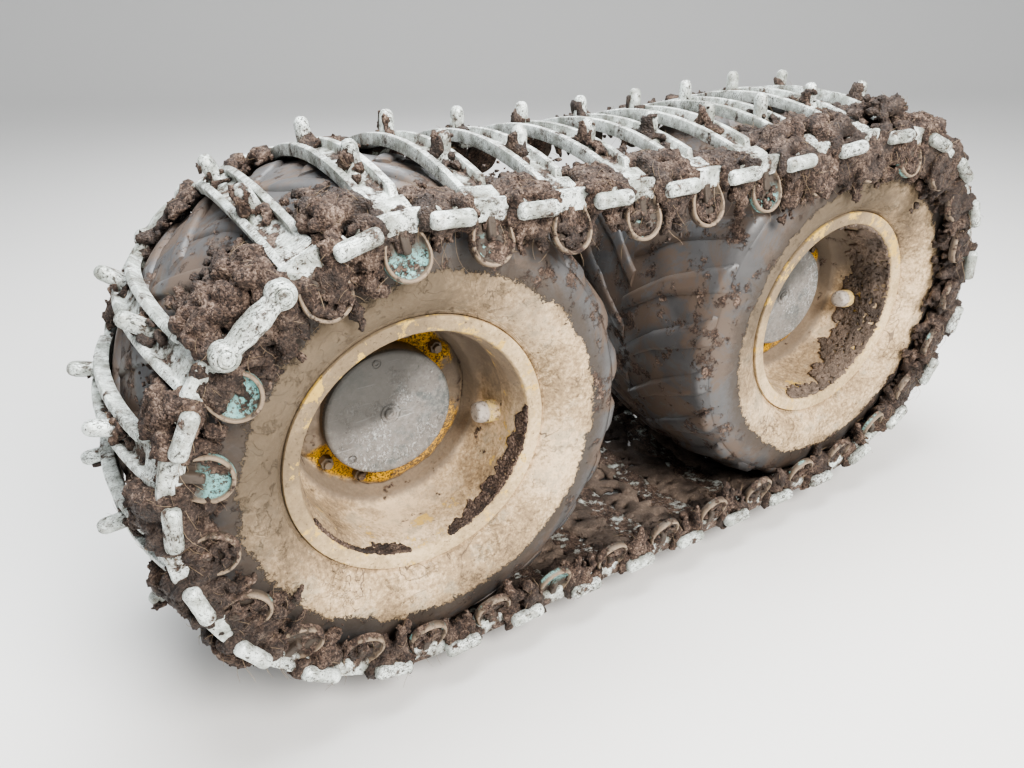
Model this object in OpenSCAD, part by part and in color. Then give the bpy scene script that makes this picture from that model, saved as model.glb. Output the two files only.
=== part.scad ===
// Tracked wheel bogie: two driven wheels on a swinging gear case, with one steel track around both.
// Origin: centre of the mounting face of the axle arm, on the swing axis.
// +Y points to the vehicle, +Z up, X along the vehicle. The wheels are on the -Y side.

/* [Layout] */
// Distance between the two wheel axes
wheel_base = 1550; // [1500:10:1600]
// Height of the swing axis above the wheel axes
pivot_rise = 60; // [20:5:100]
// Distance from the mounting face to the middle of the tyres
tyre_out = 900; // [880:10:980]
// Gap between moving pieces
run_gap = 5; // [3:1:8]
// Gap between pieces that sit on each other
seat_gap = 0.3; // [0.2:0.1:0.5]
// Radial clearance of a shaft in its bearing
shaft_gap = 0.05; // [0.03:0.01:0.08]

/* [Tyres] */
// Radius of the tyre at its lug tips, in the middle of the tread
tyre_r = 665; // [655:1:675]
// Width of the tyre
tyre_w = 720; // [712:2:730]
// Radius of the curve of the tread from side to side
crown_r = 1085; // [1000:5:1200]
// Radius of the curve of the side wall
side_r = 235; // [225:1:240]
// Height of the middle of the side wall above the wheel axis
side_mid = 490; // [480:1:500]
// Thickness of the side wall
wall_t = 25; // [18:1:32]
// Thickness of the tyre under the tread, lugs included
tread_t = 60; // [50:1:70]

/* [Tyre lugs] */
// Number of lugs on each side of the tread
lug_count = 22; // [20:1:24]
// Height of a lug over the tread
lug_h = 24; // [18:1:30]
// Height of a lug over the side wall
lug_side_h = 3; // [2:1:5]
// Reach of a lug's end below the lug tips
lug_reach = 80; // [70:2:90]
// Reach of a lug's nose over the middle of the tread
lug_cross = 12; // [5:1:15]
// Width of a lug at its nose, around the tyre
lug_nose_w = 52; // [44:2:60]
// Width of a lug at its bend, around the tyre
lug_bend_w = 62; // [54:2:70]
// Width of a lug at the shoulder, around the tyre
lug_end_w = 88; // [76:2:96]
// Distance of a lug's bend from the middle of the tread
lug_bend_at = 140; // [120:5:160]
// Lead of a lug's nose before its bend, around the tyre
lug_lead = 110; // [90:5:120]
// Lag of a lug's end behind its bend, around the tyre
lug_lag = 100; // [90:5:120]

/* [Rims] */
// Width between the outer faces of the rim flanges
rim_w = 644; // [630:2:650]
// Thickness of a rim flange
flange_t = 14; // [10:1:18]
// Radius of the seat that the tyre bead sits on
seat_r = 338; // [334:1:342]
// Height of a rim flange above the bead seat
flange_h = 22; // [18:1:26]
// Step in from the bead seat to the rim's inner edge
lip_step = 21; // [16:1:26]
// Depth of the lip's inner edge behind the flange face
lip_drop = 6; // [3:1:10]
// Step in from the bead seat to the inner side of the barrel
well_drop = 38; // [34:1:43]
// Thickness of the rim barrel in its well
barrel_t = 14; // [10:1:16]
// Depth of the lip's inner taper
taper_w = 60; // [40:5:70]
// Width of the bead seat, flange included
seat_w = 82; // [70:2:90]
// Width of the slope from the seat to the well
slope_w = 40; // [30:2:50]

/* [Rim discs] */
// Depth of the disc's flat face behind the outer flange face
disc_depth = 288; // [280:1:292]
// Thickness of the disc
disc_t = 16; // [12:1:20]
// Step in from the barrel to the top of the disc's fold
fold_step = 30; // [26:1:34]
// Width of the disc's fold
fold_w = 16; // [12:1:20]
// Height of the disc's fold
fold_h = 66; // [58:1:70]
// Rise from the fold to the barrel weld
weld_rise = 4; // [2:1:6]

/* [Wheel nuts and valve guard] */
// Number of wheel nuts
nut_count = 12; // [8:1:14]
// Step in from the edge of the flat face to the circle of wheel nuts
nut_edge = 34; // [32:0.5:36]
// Corner radius of a wheel nut
nut_r = 19; // [17:0.5:20]
// Height of a wheel nut
nut_h = 26; // [22:1:30]
// Radius of a wheel stud
stud_r = 11; // [9:0.5:12]
// Length of a wheel stud in front of the disc
stud_len = 38; // [34:1:44]
// Angle of the first wheel nut
nut_turn = 7; // [0:1:25]
// Radius of the valve guard, a stub on the inner side of the barrel
guard_r = 33; // [28:1:36]
// Length of the valve guard
guard_len = 68; // [60:1:76]
// Depth of the valve guard's middle behind the outer flange face
guard_depth = 150; // [135:1:160]
// Angle of the valve guard
guard_turn = -10; // [-30:1:30]

/* [Hubs] */
// Step in from the circle of wheel nuts to the hub's pilot and cover
pilot_step = 35; // [32:0.5:38]
// Step in from the edge of the flat face to the hub flange
hub_flange_step = 14; // [10:1:18]
// Thickness of the hub flange
hub_flange_t = 30; // [24:1:36]
// Step in from the hub flange to the hub drum
drum_step = 62; // [58:1:70]
// Reach of the hub drum behind the middle of the tyre
drum_in = 228; // [200:4:240]
// Thickness of the hub cover
cover_t = 18; // [14:1:22]
// Depth of the cover's outer face behind the rim flange face
cover_depth = 208; // [200:1:214]
// Chamfer of the cover's edge
cover_edge = 6; // [3:1:9]
// Radius of the spindle that carries the hub
spindle_r = 90; // [80:1:100]
// Distance of the spindle's end from the hub cover
spindle_back = 60; // [50:2:80]
// Radius of the plug in the middle of the cover
plug_r = 15; // [10:1:20]
// Height of the plug in the middle of the cover
plug_h = 5; // [3:1:8]
// Radius of a drain recess in the cover
recess_r = 13; // [10:1:16]
// Depth of a drain recess
recess_h = 8; // [5:1:10]
// Step in from the cover's edge to the drain recesses
recess_step = 25; // [23:1:30]
// Angle of the first drain recess
recess_turn = -139; // [-160:1:-120]

/* [Gear case] */
// Gap between the tyre's inner side and the gear case
case_gap = 118; // [108:2:130]
// Thickness of the gear case
case_t = 220; // [190:5:240]
// Radius of the gear case around a wheel axis
case_end_r = 215; // [205:1:225]
// Radius of the gear case around the swing axis
case_mid_r = 270; // [255:1:285]
// Step of the case's web in from its round ends
web_in = 15; // [8:1:25]
// Thickness of the gear case's walls
case_wall = 28; // [20:1:36]
// Edge left around the case cover
cover_inset = 10; // [6:1:14]
// Thickness of the case cover
case_cover_t = 10; // [8:1:12]
// Radius of a hub carrier's flange
carrier_flange_r = 198; // [190:1:202]
// Thickness of a hub carrier's flange
carrier_flange_t = 30; // [20:1:36]
// Radius of a hub carrier's tube
carrier_r = 150; // [140:1:160]
// Radius of the oil plugs
oil_plug_r = 20; // [16:1:24]
// Height of the oil plugs
oil_plug_h = 14; // [10:1:18]
// Place of the oil plugs along the case, from the swing axis
oil_plug_at = 420; // [400:5:440]

/* [Axle arm] */
// Radius of the journal that the gear case swings on
journal_r = 130; // [120:1:135]
// Radius of the arm's tube
arm_r = 150; // [145:1:160]
// Radius of the mounting flange
mount_r = 240; // [232:1:250]
// Thickness of the mounting flange
mount_t = 30; // [24:1:36]
// Number of bolts in the mounting flange
bolt_count = 16; // [8:1:20]
// Diameter of the circle of mounting bolts
bolt_circle = 400; // [380:2:420]
// Radius of a mounting bolt's hole
bolt_r = 11; // [9:0.5:13]
// Radius of the bore for the drive shaft
shaft_r = 45; // [35:1:55]
// Outer radius of the bearing ring
ring_r = 195; // [180:1:205]
// Thickness of the bearing ring
ring_t = 15; // [10:1:20]
// Radius of the cap over the journal's end
cap_r = 165; // [155:1:175]
// Thickness of the cap
cap_t = 12; // [8:1:16]
// Gap between the journal's end and the cap
cap_gap = 10; // [6:1:14]

/* [Track loop] */
// Number of shoes in the track
shoe_count = 32; // [31:1:33]
// Depth of the link pins' line below the tyre's lug tips
link_drop = 50; // [47:1:53]
// Sag of the top run between the wheels
top_sag = 30; // [20:1:40]
// Distance between the two legs of a link
link_pins = 67; // [64:1:70]
// Distance between the two pins of the coupling link
coupling_pins = 160; // [150:1:170]
// Distance along the track from the middle of the top run to the coupling link
coupling_at = 1191; // [1100:1:1300]
// Clearance of a link's leg in its hole
leg_gap = 0.4; // [0.3:0.1:0.6]

/* [Track shoes] */
// Width of a shoe along the track
shoe_w = 92; // [84:1:100]
// Thickness of a shoe's floor
floor_t = 12; // [10:1:16]
// Half length of a shoe's floor across the track
floor_half = 376; // [372:1:380]
// Thickness of a shoe's rib
rib_t = 20; // [16:1:24]
// Height of a shoe's rib above the floor
rib_h = 22; // [16:1:28]
// Half length of the short rib
short_rib = 292; // [270:1:300]
// Start of the end pad, from the middle of the shoe
pad_from = 316; // [308:1:320]
// Width of the end pad across the track
pad_w = 44; // [36:1:46]
// Height of the end pad above the floor
pad_h = 17; // [12:1:22]
// Inner side of the side bar, from the middle of the shoe
bar_from = 367; // [365:1:370]
// Thickness of the side bar across the track
bar_t = 33; // [30:1:35]
// Radius of the side bar's eyes
eye_r = 26; // [24:1:28]
// Height of the side bar's back above the pins
bar_top = 32; // [30:1:36]
// Distance of the studs from the middle of the shoe
stud_y = 163; // [150:1:175]
// Radius of a shoe's stud
grip_r = 20; // [16:1:24]
// Height of a stud's tip above the pins
grip_top = 137; // [130:1:142]
// Height of a stud's bevel
grip_edge = 9; // [5:1:12]

/* [Paddles] */
// Width of a paddle at its round end
paddle_w = 112; // [100:2:120]
// Width of a paddle at its neck
neck_w = 78; // [70:1:86]
// Length of a paddle
paddle_len = 118; // [110:1:124]
// Lean of a paddle away from the tyre
paddle_lean = 17.5; // [14:0.5:22]
// Thickness of a paddle's plate
paddle_t = 9; // [7:1:11]
// Height of a paddle's rim
paddle_rim_h = 15; // [10:1:18]
// Thickness of a paddle's rim
paddle_rim_t = 9; // [7:1:11]
// Width of the rib in a paddle's neck
stem_w = 24; // [18:1:30]
// Length of the rib in a paddle's neck
stem_len = 58; // [40:1:66]
// Distance of a paddle's root below the pins
root_drop = 8; // [4:1:12]

/* [Links] */
// Radius of a link's bar
link_bar_r = 20; // [18:1:22]
// Radius of a link's legs
leg_r = 15; // [13:0.5:16]
// Gap between a link's bar and the side bars
link_side_gap = 2; // [1:0.5:3]
// Radius of the coupling link's eyes
coupling_eye_r = 31; // [29:1:33]
// Radius of the coupling link in its middle
coupling_mid_r = 27; // [25:1:29]
// Radius of the coupling link at its necks
coupling_neck_r = 22; // [20:1:24]
// Radius of the coupling link's pin heads
pin_head_r = 18; // [16:1:20]
// Height of the coupling link's pin heads
pin_head_h = 5; // [3:1:7]

/* [Hidden] */
FRONT = -1;
REAR = 1;
$fn = 72;
full_turn = 360;
cut = 1;

half_base = wheel_base / 2;
rim_half = rim_w / 2;
tyre_half = tyre_w / 2;
flange_r = seat_r + flange_h;
lip_r = seat_r - lip_step;
barrel_r = seat_r - well_drop;
fold_r = barrel_r - fold_step;
flat_r = fold_r - fold_w;
nut_at = flat_r - nut_edge;
pilot_r = nut_at - pilot_step;
hub_flange_r = flat_r - hub_flange_step;
drum_r = hub_flange_r - drum_step;
recess_at = pilot_r - recess_step;
case_face = tyre_out - tyre_half - case_gap;
case_back = case_face - case_t;

// Heights along a wheel's own axis, from the tyre's middle, positive to the outside.
disc_z = rim_half - disc_depth;
disc_back_z = disc_z - disc_t;
hub_flange_z = disc_back_z - hub_flange_t;
cover_z = rim_half - cover_depth;
cover_back_z = cover_z - cover_t;
spindle_z = cover_z - spindle_back;
carrier_z = -(tyre_out - case_face);
bead_half = rim_half - flange_t - seat_gap;
side_z = tyre_half - side_r;
guard_z = rim_half - guard_depth;

// The track's path: a straight bottom run, two wraps and a sagging top run.
link_r = tyre_r - link_drop;
sag_reach = (pow(half_base, 2) + pow(top_sag, 2)) / (2 * top_sag);
sag_r = sag_reach - link_r;
lean = asin(half_base / sag_reach);
sag_z = sag_reach * cos(lean);
run_bottom = wheel_base;
run_wrap = (180 + lean) * PI / 180 * link_r;
run_top = 2 * lean * PI / 180 * sag_r;
loop_len = run_bottom + 2 * run_wrap + run_top;
pitch = (loop_len - coupling_pins + link_pins) / shoe_count;
shoe_pins = pitch - link_pins;
coupling_s = run_bottom + run_wrap + run_top / 2 + coupling_at;
first_shoe_s = coupling_s + (coupling_pins + shoe_pins) / 2;

// The shoe's arch follows the tyre's tread, a running gap away from it.
arch_r = crown_r + run_gap;
pin_chord_r = sqrt(pow(link_r, 2) - pow(shoe_pins / 2, 2));
shoe_rise = tyre_r + run_gap - pin_chord_r;
bar_to = bar_from + bar_t;
link_y = bar_to + link_side_gap + link_bar_r;

function degrees_of(len, r) = len / r * 180 / PI;
function round_at(cx, cz, r, a) = [cx + r * cos(a), cz + r * sin(a)];
function path(s) =
    let (d = s - loop_len * floor(s / loop_len))
    let (wrap = d - run_bottom)
    let (top = wrap - run_wrap)
    let (back = top - run_top)
    d < run_bottom ? [d - half_base, -link_r]
    : wrap < run_wrap ? round_at(half_base, 0, link_r, degrees_of(wrap, link_r) - 90)
    : top < run_top ? round_at(0, sag_z, sag_r, lean - 90 - degrees_of(top, sag_r))
    : round_at(-half_base, 0, link_r, 90 - lean + degrees_of(back, link_r));

function flip(list) = [for (i = [len(list) - 1 : -1 : 0]) list[i]];
function mirrored(list) = [for (p = flip(list)) [p[0], -p[1]]];

// Puts a shape at a wheel, with its axis along the wheel's axis and the outside up.
module at_wheel(side) {
    translate([side * half_base, -tyre_out, -pivot_rise])
        rotate([90, 0, 0])
            children();
}

// Puts a shape on the track's path, between two pins that are a span apart.
module on_track(s, span) {
    p = path(s - span / 2);
    q = path(s + span / 2);
    translate([(p[0] + q[0]) / 2, -tyre_out, (p[1] + q[1]) / 2 - pivot_rise])
        rotate([0, atan2(q[1] - p[1], p[0] - q[0]), 0])
            children();
}

// A disc or drum along Z, between two heights.
module drum(r, z0, z1) {
    translate([0, 0, z0])
        cylinder(h = z1 - z0, r = r);
}

// A flat outline in X and Z, made solid between two distances from the mounting face.
module slab(y0, y1) {
    translate([0, -y0, 0])
        rotate([90, 0, 0])
            linear_extrude(y1 - y0)
                children();
}

// A drum across the vehicle, around the swing axis.
module cross_drum(r, y0, y1) {
    slab(y0, y1)
        circle(r = r);
}

// Half of the tyre's section, as the space between its bead and a curved tread.
module tyre_space(inset, crown_inset) {
    intersection() {
        union() {
            for (side = [-1, 1])
                translate([side_mid, side * side_z])
                    circle(r = side_r - inset);
            translate([seat_r - side_r, -side_z])
                square([side_mid + side_r, 2 * side_z]);
        }
        translate([tyre_r - crown_r, 0])
            circle(r = crown_r - crown_inset, $fn = 180);
        translate([seat_r + seat_gap, -tyre_half])
            square([tyre_r, tyre_w]);
    }
}

// Both sides of the tyre's section from a place outwards, up to a height over the bead seat.
module side_spaces(from, width, height) {
    for (side = [0, 1])
        mirror([0, side])
            translate([seat_r + seat_gap, from])
                square([height, width]);
}

// A lug's outline around and across the tyre, from its nose to the shoulder.
module lug_outline() {
    polygon([
        [lug_lead - lug_nose_w / 2, -lug_cross],
        [lug_lead + lug_nose_w / 2, -lug_cross],
        [lug_bend_w / 2, lug_bend_at],
        [lug_end_w / 2 - lug_lag, tyre_half],
        [-lug_end_w / 2 - lug_lag, tyre_half],
        [-lug_bend_w / 2, lug_bend_at]
    ]);
}

module tyre_lugs() {
    lug_turn = full_turn / lug_count;
    intersection() {
        rotate_extrude($fn = 120)
            tyre_space(-lug_side_h, 0);
        for (end = [0, 1])
            mirror([0, 0, end])
                for (i = [0 : lug_count - 1])
                    rotate([0, 0, (i + end / 2) * lug_turn])
                        translate([tyre_r - lug_reach, 0, 0])
                            rotate([90, 0, 90])
                                linear_extrude(lug_reach + cut)
                                    lug_outline();
    }
}

module tyre(side) {
    color("dimgray")
    at_wheel(side)
        difference() {
            union() {
                rotate_extrude($fn = 120) {
                    tyre_space(0, lug_h);
                    side_spaces(bead_half - wall_t, wall_t, flange_h + wall_t);
                }
                tyre_lugs();
            }
            rotate_extrude($fn = 120) {
                difference() {
                    tyre_space(wall_t, tread_t);
                    side_spaces(bead_half - wall_t, tyre_w, flange_h + wall_t);
                }
                side_spaces(bead_half, tyre_w, flange_h);
            }
        }
}

module rim(side) {
    half_section = [
        [flange_r, rim_half],
        [lip_r, rim_half - lip_drop],
        [barrel_r, rim_half - taper_w]
    ];
    seat_section = [
        [flange_r, rim_half - flange_t],
        [seat_r, rim_half - flange_t],
        [seat_r, rim_half - seat_w],
        [barrel_r + barrel_t, rim_half - seat_w - slope_w]
    ];
    color("goldenrod")
    at_wheel(side)
        rotate_extrude($fn = 120)
            polygon(concat(half_section, mirrored(half_section), flip(mirrored(seat_section)),
                flip(seat_section)));
}

// The disc's section: a flat face, a steep fold and a rim that meets the barrel.
module disc_section() {
    polygon([
        [pilot_r + seat_gap, disc_z],
        [flat_r, disc_z],
        [fold_r, disc_z + fold_h],
        [barrel_r - seat_gap, disc_z + fold_h + weld_rise],
        [barrel_r - seat_gap, disc_z + fold_h + weld_rise - disc_t],
        [fold_r + disc_t, disc_z + fold_h - disc_t],
        [flat_r + disc_t, disc_back_z],
        [pilot_r + seat_gap, disc_back_z]
    ]);
}

module disc(side) {
    color("goldenrod")
    at_wheel(side)
        difference() {
            rotate_extrude($fn = 120)
                disc_section();
            for (i = [0 : nut_count - 1])
                rotate([0, 0, nut_turn + i * full_turn / nut_count])
                    translate([nut_at, 0, 0])
                        drum(stud_r + seat_gap, disc_back_z - cut, disc_z + cut);
        }
}

module hub(side) {
    color("darkgoldenrod")
    at_wheel(side)
        difference() {
            union() {
                drum(drum_r, -drum_in, hub_flange_z);
                drum(hub_flange_r, hub_flange_z, disc_back_z);
                drum(pilot_r, disc_back_z, cover_back_z);
            }
            drum(spindle_r, -drum_in - cut, spindle_z + run_gap);
        }
}

module hub_cover(side) {
    color("gray")
    at_wheel(side)
        difference() {
            union() {
                drum(pilot_r, cover_back_z, cover_z - cover_edge);
                translate([0, 0, cover_z - cover_edge])
                    cylinder(h = cover_edge, r1 = pilot_r, r2 = pilot_r - cover_edge);
                drum(plug_r, cover_z - cut, cover_z + plug_h);
            }
            for (i = [0 : 2])
                rotate([0, 0, recess_turn + i * full_turn / 3])
                    translate([recess_at, 0, 0])
                        drum(recess_r, cover_z - recess_h, cover_z + cut);
        }
}

module wheel_nuts(side) {
    color("gray")
    at_wheel(side)
        for (i = [0 : nut_count - 1])
            rotate([0, 0, nut_turn + i * full_turn / nut_count])
                translate([nut_at, 0, 0]) {
                    drum(stud_r, disc_back_z, disc_z + stud_len);
                    translate([0, 0, disc_z])
                        cylinder(h = nut_h, r = nut_r, $fn = 6);
                }
}

// A stub that points from the barrel to the axis.
module valve_guard(side) {
    color("sienna")
    at_wheel(side)
        intersection() {
            rotate([0, 0, guard_turn])
                translate([0, 0, guard_z])
                    rotate([0, 90, 0])
                        drum(guard_r, barrel_r - guard_len, barrel_r);
            drum(barrel_r - seat_gap, guard_z - guard_r - cut, guard_z + guard_r + cut);
        }
}

// The gear case's shape between two distances from the mounting face, drawn in by an edge.
module case_body(y0, y1, edge) {
    end_h = case_end_r - web_in - edge;
    mid_h = case_mid_r - web_in - edge;
    for (side = [FRONT, REAR])
        translate([side * half_base, 0, -pivot_rise])
            cross_drum(case_end_r - edge, y0, y1);
    cross_drum(case_mid_r - edge, y0, y1);
    slab(y0, y1)
        polygon([
            [-half_base, end_h - pivot_rise],
            [0, mid_h],
            [half_base, end_h - pivot_rise],
            [half_base, -end_h - pivot_rise],
            [0, -mid_h],
            [-half_base, -end_h - pivot_rise]
        ]);
}

module gear_case() {
    color("darkslategray")
    difference() {
        case_body(case_back, case_face, 0);
        difference() {
            case_body(case_back - cut, case_face - case_wall, case_wall);
            cross_drum(ring_r, case_back - 2 * cut, case_face);
        }
        cross_drum(journal_r, case_back - cut, case_face + cut);
    }
}

module case_cover() {
    color("slategray")
    difference() {
        case_body(case_back - case_cover_t, case_back, cover_inset);
        cross_drum(ring_r + seat_gap, case_back - case_cover_t - cut, case_back + cut);
    }
}

module bearing_ring() {
    color("gray")
    difference() {
        cross_drum(ring_r, case_back - ring_t, case_back);
        cross_drum(journal_r, case_back - ring_t - cut, case_back + cut);
    }
}

module journal_cap() {
    color("gray")
    cross_drum(cap_r, case_face, case_face + cap_t);
}

module oil_plugs() {
    color("silver")
    for (side = [FRONT, REAR])
        translate([side * oil_plug_at, 0, -pivot_rise])
            cross_drum(oil_plug_r, case_back - case_cover_t - oil_plug_h, case_back - case_cover_t);
}

module carrier(side) {
    color("darkslategray")
    at_wheel(side) {
        drum(carrier_flange_r, carrier_z, carrier_z + carrier_flange_t);
        drum(carrier_r, carrier_z, -drum_in - run_gap);
        drum(spindle_r - shaft_gap, carrier_z, spindle_z);
    }
}

module axle_arm() {
    color("darkslategray")
    difference() {
        union() {
            cross_drum(mount_r, 0, mount_t);
            cross_drum(arm_r, 0, case_back - ring_t - run_gap);
            cross_drum(journal_r - shaft_gap, 0, case_face - cap_gap);
        }
        cross_drum(shaft_r, -cut, case_face);
        for (i = [0 : bolt_count - 1])
            rotate([0, i * full_turn / bolt_count, 0])
                translate([bolt_circle / 2, 0, 0])
                    cross_drum(bolt_r, -cut, mount_t + cut);
    }
}

// A curved strip of the shoe, between two heights over its inner side and two places along it.
module arch(h0, h1, from, to, x0, x1) {
    a0 = asin(from / arch_r);
    a1 = asin(to / arch_r);
    translate([0, 0, shoe_rise - arch_r])
        rotate([90, 0, 90])
            rotate_extrude(angle = a1 - a0, start = 90 - a1, $fn = 180)
                translate([arch_r + h0, x0])
                    square([h1 - h0, x1 - x0]);
}

module side_bar() {
    hip = shoe_pins / 2;
    shoulder = hip / 2;
    translate([0, -bar_from, 0])
        rotate([90, 0, 0])
            linear_extrude(bar_t)
                difference() {
                    union() {
                        for (end = [-1, 1])
                            translate([end * hip, 0])
                                circle(r = eye_r, $fn = 24);
                        polygon([
                            [-hip, -eye_r + 2], [hip, -eye_r + 2], [hip, eye_r - 4],
                            [shoulder, bar_top], [-shoulder, bar_top], [-hip, eye_r - 4]
                        ]);
                    }
                    for (end = [-1, 1])
                        translate([end * hip, 0])
                            circle(r = leg_r + leg_gap, $fn = 24);
                }
}

// The paddle's outline, drawn in by an edge, with its root at the origin.
module paddle_outline(edge) {
    end_r = paddle_w / 2;
    translate([0, paddle_len - end_r])
        circle(r = end_r - edge, $fn = 36);
    polygon([
        [edge - neck_w / 2, 0],
        [neck_w / 2 - edge, 0],
        [end_r - edge - 4, paddle_len - end_r - 10],
        [edge + 4 - end_r, paddle_len - end_r - 10]
    ]);
}

module paddle() {
    translate([0, -bar_from - bar_t / 2, -root_drop])
        rotate([-90 - paddle_lean, 0, 0]) {
            linear_extrude(paddle_t)
                paddle_outline(0);
            translate([0, 0, -paddle_rim_h])
                linear_extrude(paddle_rim_h + paddle_t / 2)
                    difference() {
                        paddle_outline(0);
                        paddle_outline(paddle_rim_t);
                    }
            translate([-stem_w / 2, 0, -paddle_rim_h])
                cube([stem_w, stem_len, paddle_rim_h + paddle_t / 2]);
        }
}

module grip_stud() {
    base = shoe_rise - arch_r + (arch_r + floor_t / 2) * cos(asin(stud_y / arch_r));
    translate([0, -stud_y, base]) {
        cylinder(h = grip_top - grip_edge - base, r = grip_r, $fn = 24);
        translate([0, 0, grip_top - grip_edge - base])
            cylinder(h = grip_edge, r1 = grip_r, r2 = grip_r - grip_edge, $fn = 24);
    }
}

module shoe() {
    half_w = shoe_w / 2;
    arch(0, floor_t, -floor_half, floor_half, -half_w, half_w);
    arch(floor_t / 2, floor_t + rib_h, -floor_half, floor_half, -half_w, rib_t - half_w);
    arch(floor_t / 2, floor_t + rib_h, -short_rib, short_rib, half_w - rib_t, half_w);
    for (end = [0, 1])
        mirror([0, end, 0]) {
            arch(floor_t / 2, floor_t + pad_h, -pad_from - pad_w, -pad_from, -half_w, half_w);
            side_bar();
            paddle();
            grip_stud();
        }
}

module track_shoes() {
    color("lightgray")
    for (i = [0 : shoe_count - 1])
        on_track(first_shoe_s + i * pitch, shoe_pins)
            shoe();
}

// A staple of round bar: two legs reach through the side bars' eyes.
module link() {
    half = link_pins / 2;
    translate([-half - link_bar_r, -link_y, 0])
        rotate([0, 90, 0])
            cylinder(h = link_pins + 2 * link_bar_r, r = link_bar_r, $fn = 24);
    for (end = [-1, 1])
        translate([end * half, -link_y, 0])
            rotate([-90, 0, 0])
                cylinder(h = link_y - bar_from + link_side_gap, r = leg_r, $fn = 24);
}

module track_links(side) {
    color("white")
    for (i = [0 : shoe_count - 2])
        on_track(first_shoe_s + (i + 0.5) * pitch, link_pins)
            mirror([0, side, 0])
                link();
}

// The long link that closes the track, with a headed pin through each eye.
module coupling_link() {
    half = coupling_pins / 2;
    neck = half - coupling_eye_r;
    eye_t = 2 * link_bar_r;
    translate([0, -link_y, 0]) {
        rotate([0, 90, 0]) {
            drum(coupling_neck_r, -half, half);
            drum(coupling_mid_r, -neck / 2, neck / 2);
            for (end = [0, 1])
                mirror([0, 0, end])
                    translate([0, 0, neck / 2])
                        cylinder(h = neck / 2, r1 = coupling_mid_r, r2 = coupling_neck_r);
        }
        for (end = [-1, 1])
            translate([end * half, 0, 0])
                rotate([90, 0, 0]) {
                    drum(coupling_eye_r, -eye_t / 2, eye_t / 2);
                    drum(pin_head_r, 0, eye_t / 2 + pin_head_h);
                    translate([0, 0, bar_from - link_side_gap - link_y])
                        cylinder(h = link_y - bar_from + link_side_gap, r = leg_r, $fn = 24);
                }
    }
}

module coupling_links() {
    color("white")
    for (side = [0, 1])
        on_track(coupling_s, coupling_pins)
            mirror([0, side, 0])
                coupling_link();
}

axle_arm();
gear_case();
case_cover();
bearing_ring();
journal_cap();
oil_plugs();
carrier(FRONT);  // carrier_front
carrier(REAR);  // carrier_rear
track_shoes();
track_links(0);  // track_links_outer
track_links(1);  // track_links_inner
coupling_links();
tyre(FRONT);  // tyre_front
tyre(REAR);  // tyre_rear
rim(FRONT);  // rim_front
rim(REAR);  // rim_rear
disc(FRONT);  // disc_front
disc(REAR);  // disc_rear
hub(FRONT);  // hub_front
hub(REAR);  // hub_rear
hub_cover(FRONT);  // hub_cover_front
hub_cover(REAR);  // hub_cover_rear
wheel_nuts(FRONT);  // wheel_nuts_front
wheel_nuts(REAR);  // wheel_nuts_rear
valve_guard(FRONT);  // valve_guard_front
valve_guard(REAR);  // valve_guard_rear
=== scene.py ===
# %% [markdown]
# # A tracked wheel bogie
# Two driven wheels hang on one swinging gear case, and a steel track runs around both of them.
# The construction arrives packed, as a fixed frame of plain solids. This lesson dresses it: worn
# cast steel, wet rubber, dried mud and packed earth are built around the frame's own measures,
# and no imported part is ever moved.

import math

import bmesh
import bpy
import numpy as np
from mathutils import Matrix, Vector


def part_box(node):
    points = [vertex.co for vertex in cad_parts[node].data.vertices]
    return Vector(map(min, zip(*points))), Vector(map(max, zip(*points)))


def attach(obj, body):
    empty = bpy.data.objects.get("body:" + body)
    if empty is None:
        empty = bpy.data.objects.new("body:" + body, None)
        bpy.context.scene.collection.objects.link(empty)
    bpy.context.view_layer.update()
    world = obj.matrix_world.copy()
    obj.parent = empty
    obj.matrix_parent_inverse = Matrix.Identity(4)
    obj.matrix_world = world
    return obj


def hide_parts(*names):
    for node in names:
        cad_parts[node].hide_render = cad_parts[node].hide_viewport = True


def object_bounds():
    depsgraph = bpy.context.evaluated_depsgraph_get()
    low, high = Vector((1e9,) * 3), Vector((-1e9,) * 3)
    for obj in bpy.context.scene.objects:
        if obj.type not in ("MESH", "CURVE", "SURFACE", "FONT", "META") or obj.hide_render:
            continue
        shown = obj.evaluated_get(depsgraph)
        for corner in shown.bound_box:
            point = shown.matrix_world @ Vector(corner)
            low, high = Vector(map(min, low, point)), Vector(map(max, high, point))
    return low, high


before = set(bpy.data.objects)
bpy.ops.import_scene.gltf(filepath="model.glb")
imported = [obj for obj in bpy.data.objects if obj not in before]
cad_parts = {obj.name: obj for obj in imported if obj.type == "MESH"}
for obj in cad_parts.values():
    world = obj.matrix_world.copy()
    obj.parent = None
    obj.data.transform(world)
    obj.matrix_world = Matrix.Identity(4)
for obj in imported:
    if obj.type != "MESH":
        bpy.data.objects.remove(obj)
cad_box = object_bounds()
print("packed nodes:", len(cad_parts))
print("box:", [tuple(round(x, 3) for x in corner) for corner in cad_box])

# %% [markdown]
# ## Measures
# Everything is in metres, in the frame's own axes: +Y points to the vehicle and +Z up, so the
# wheels show on the -Y side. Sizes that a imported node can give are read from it. The track's
# own spacings, which no box shows, are named here once.

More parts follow.
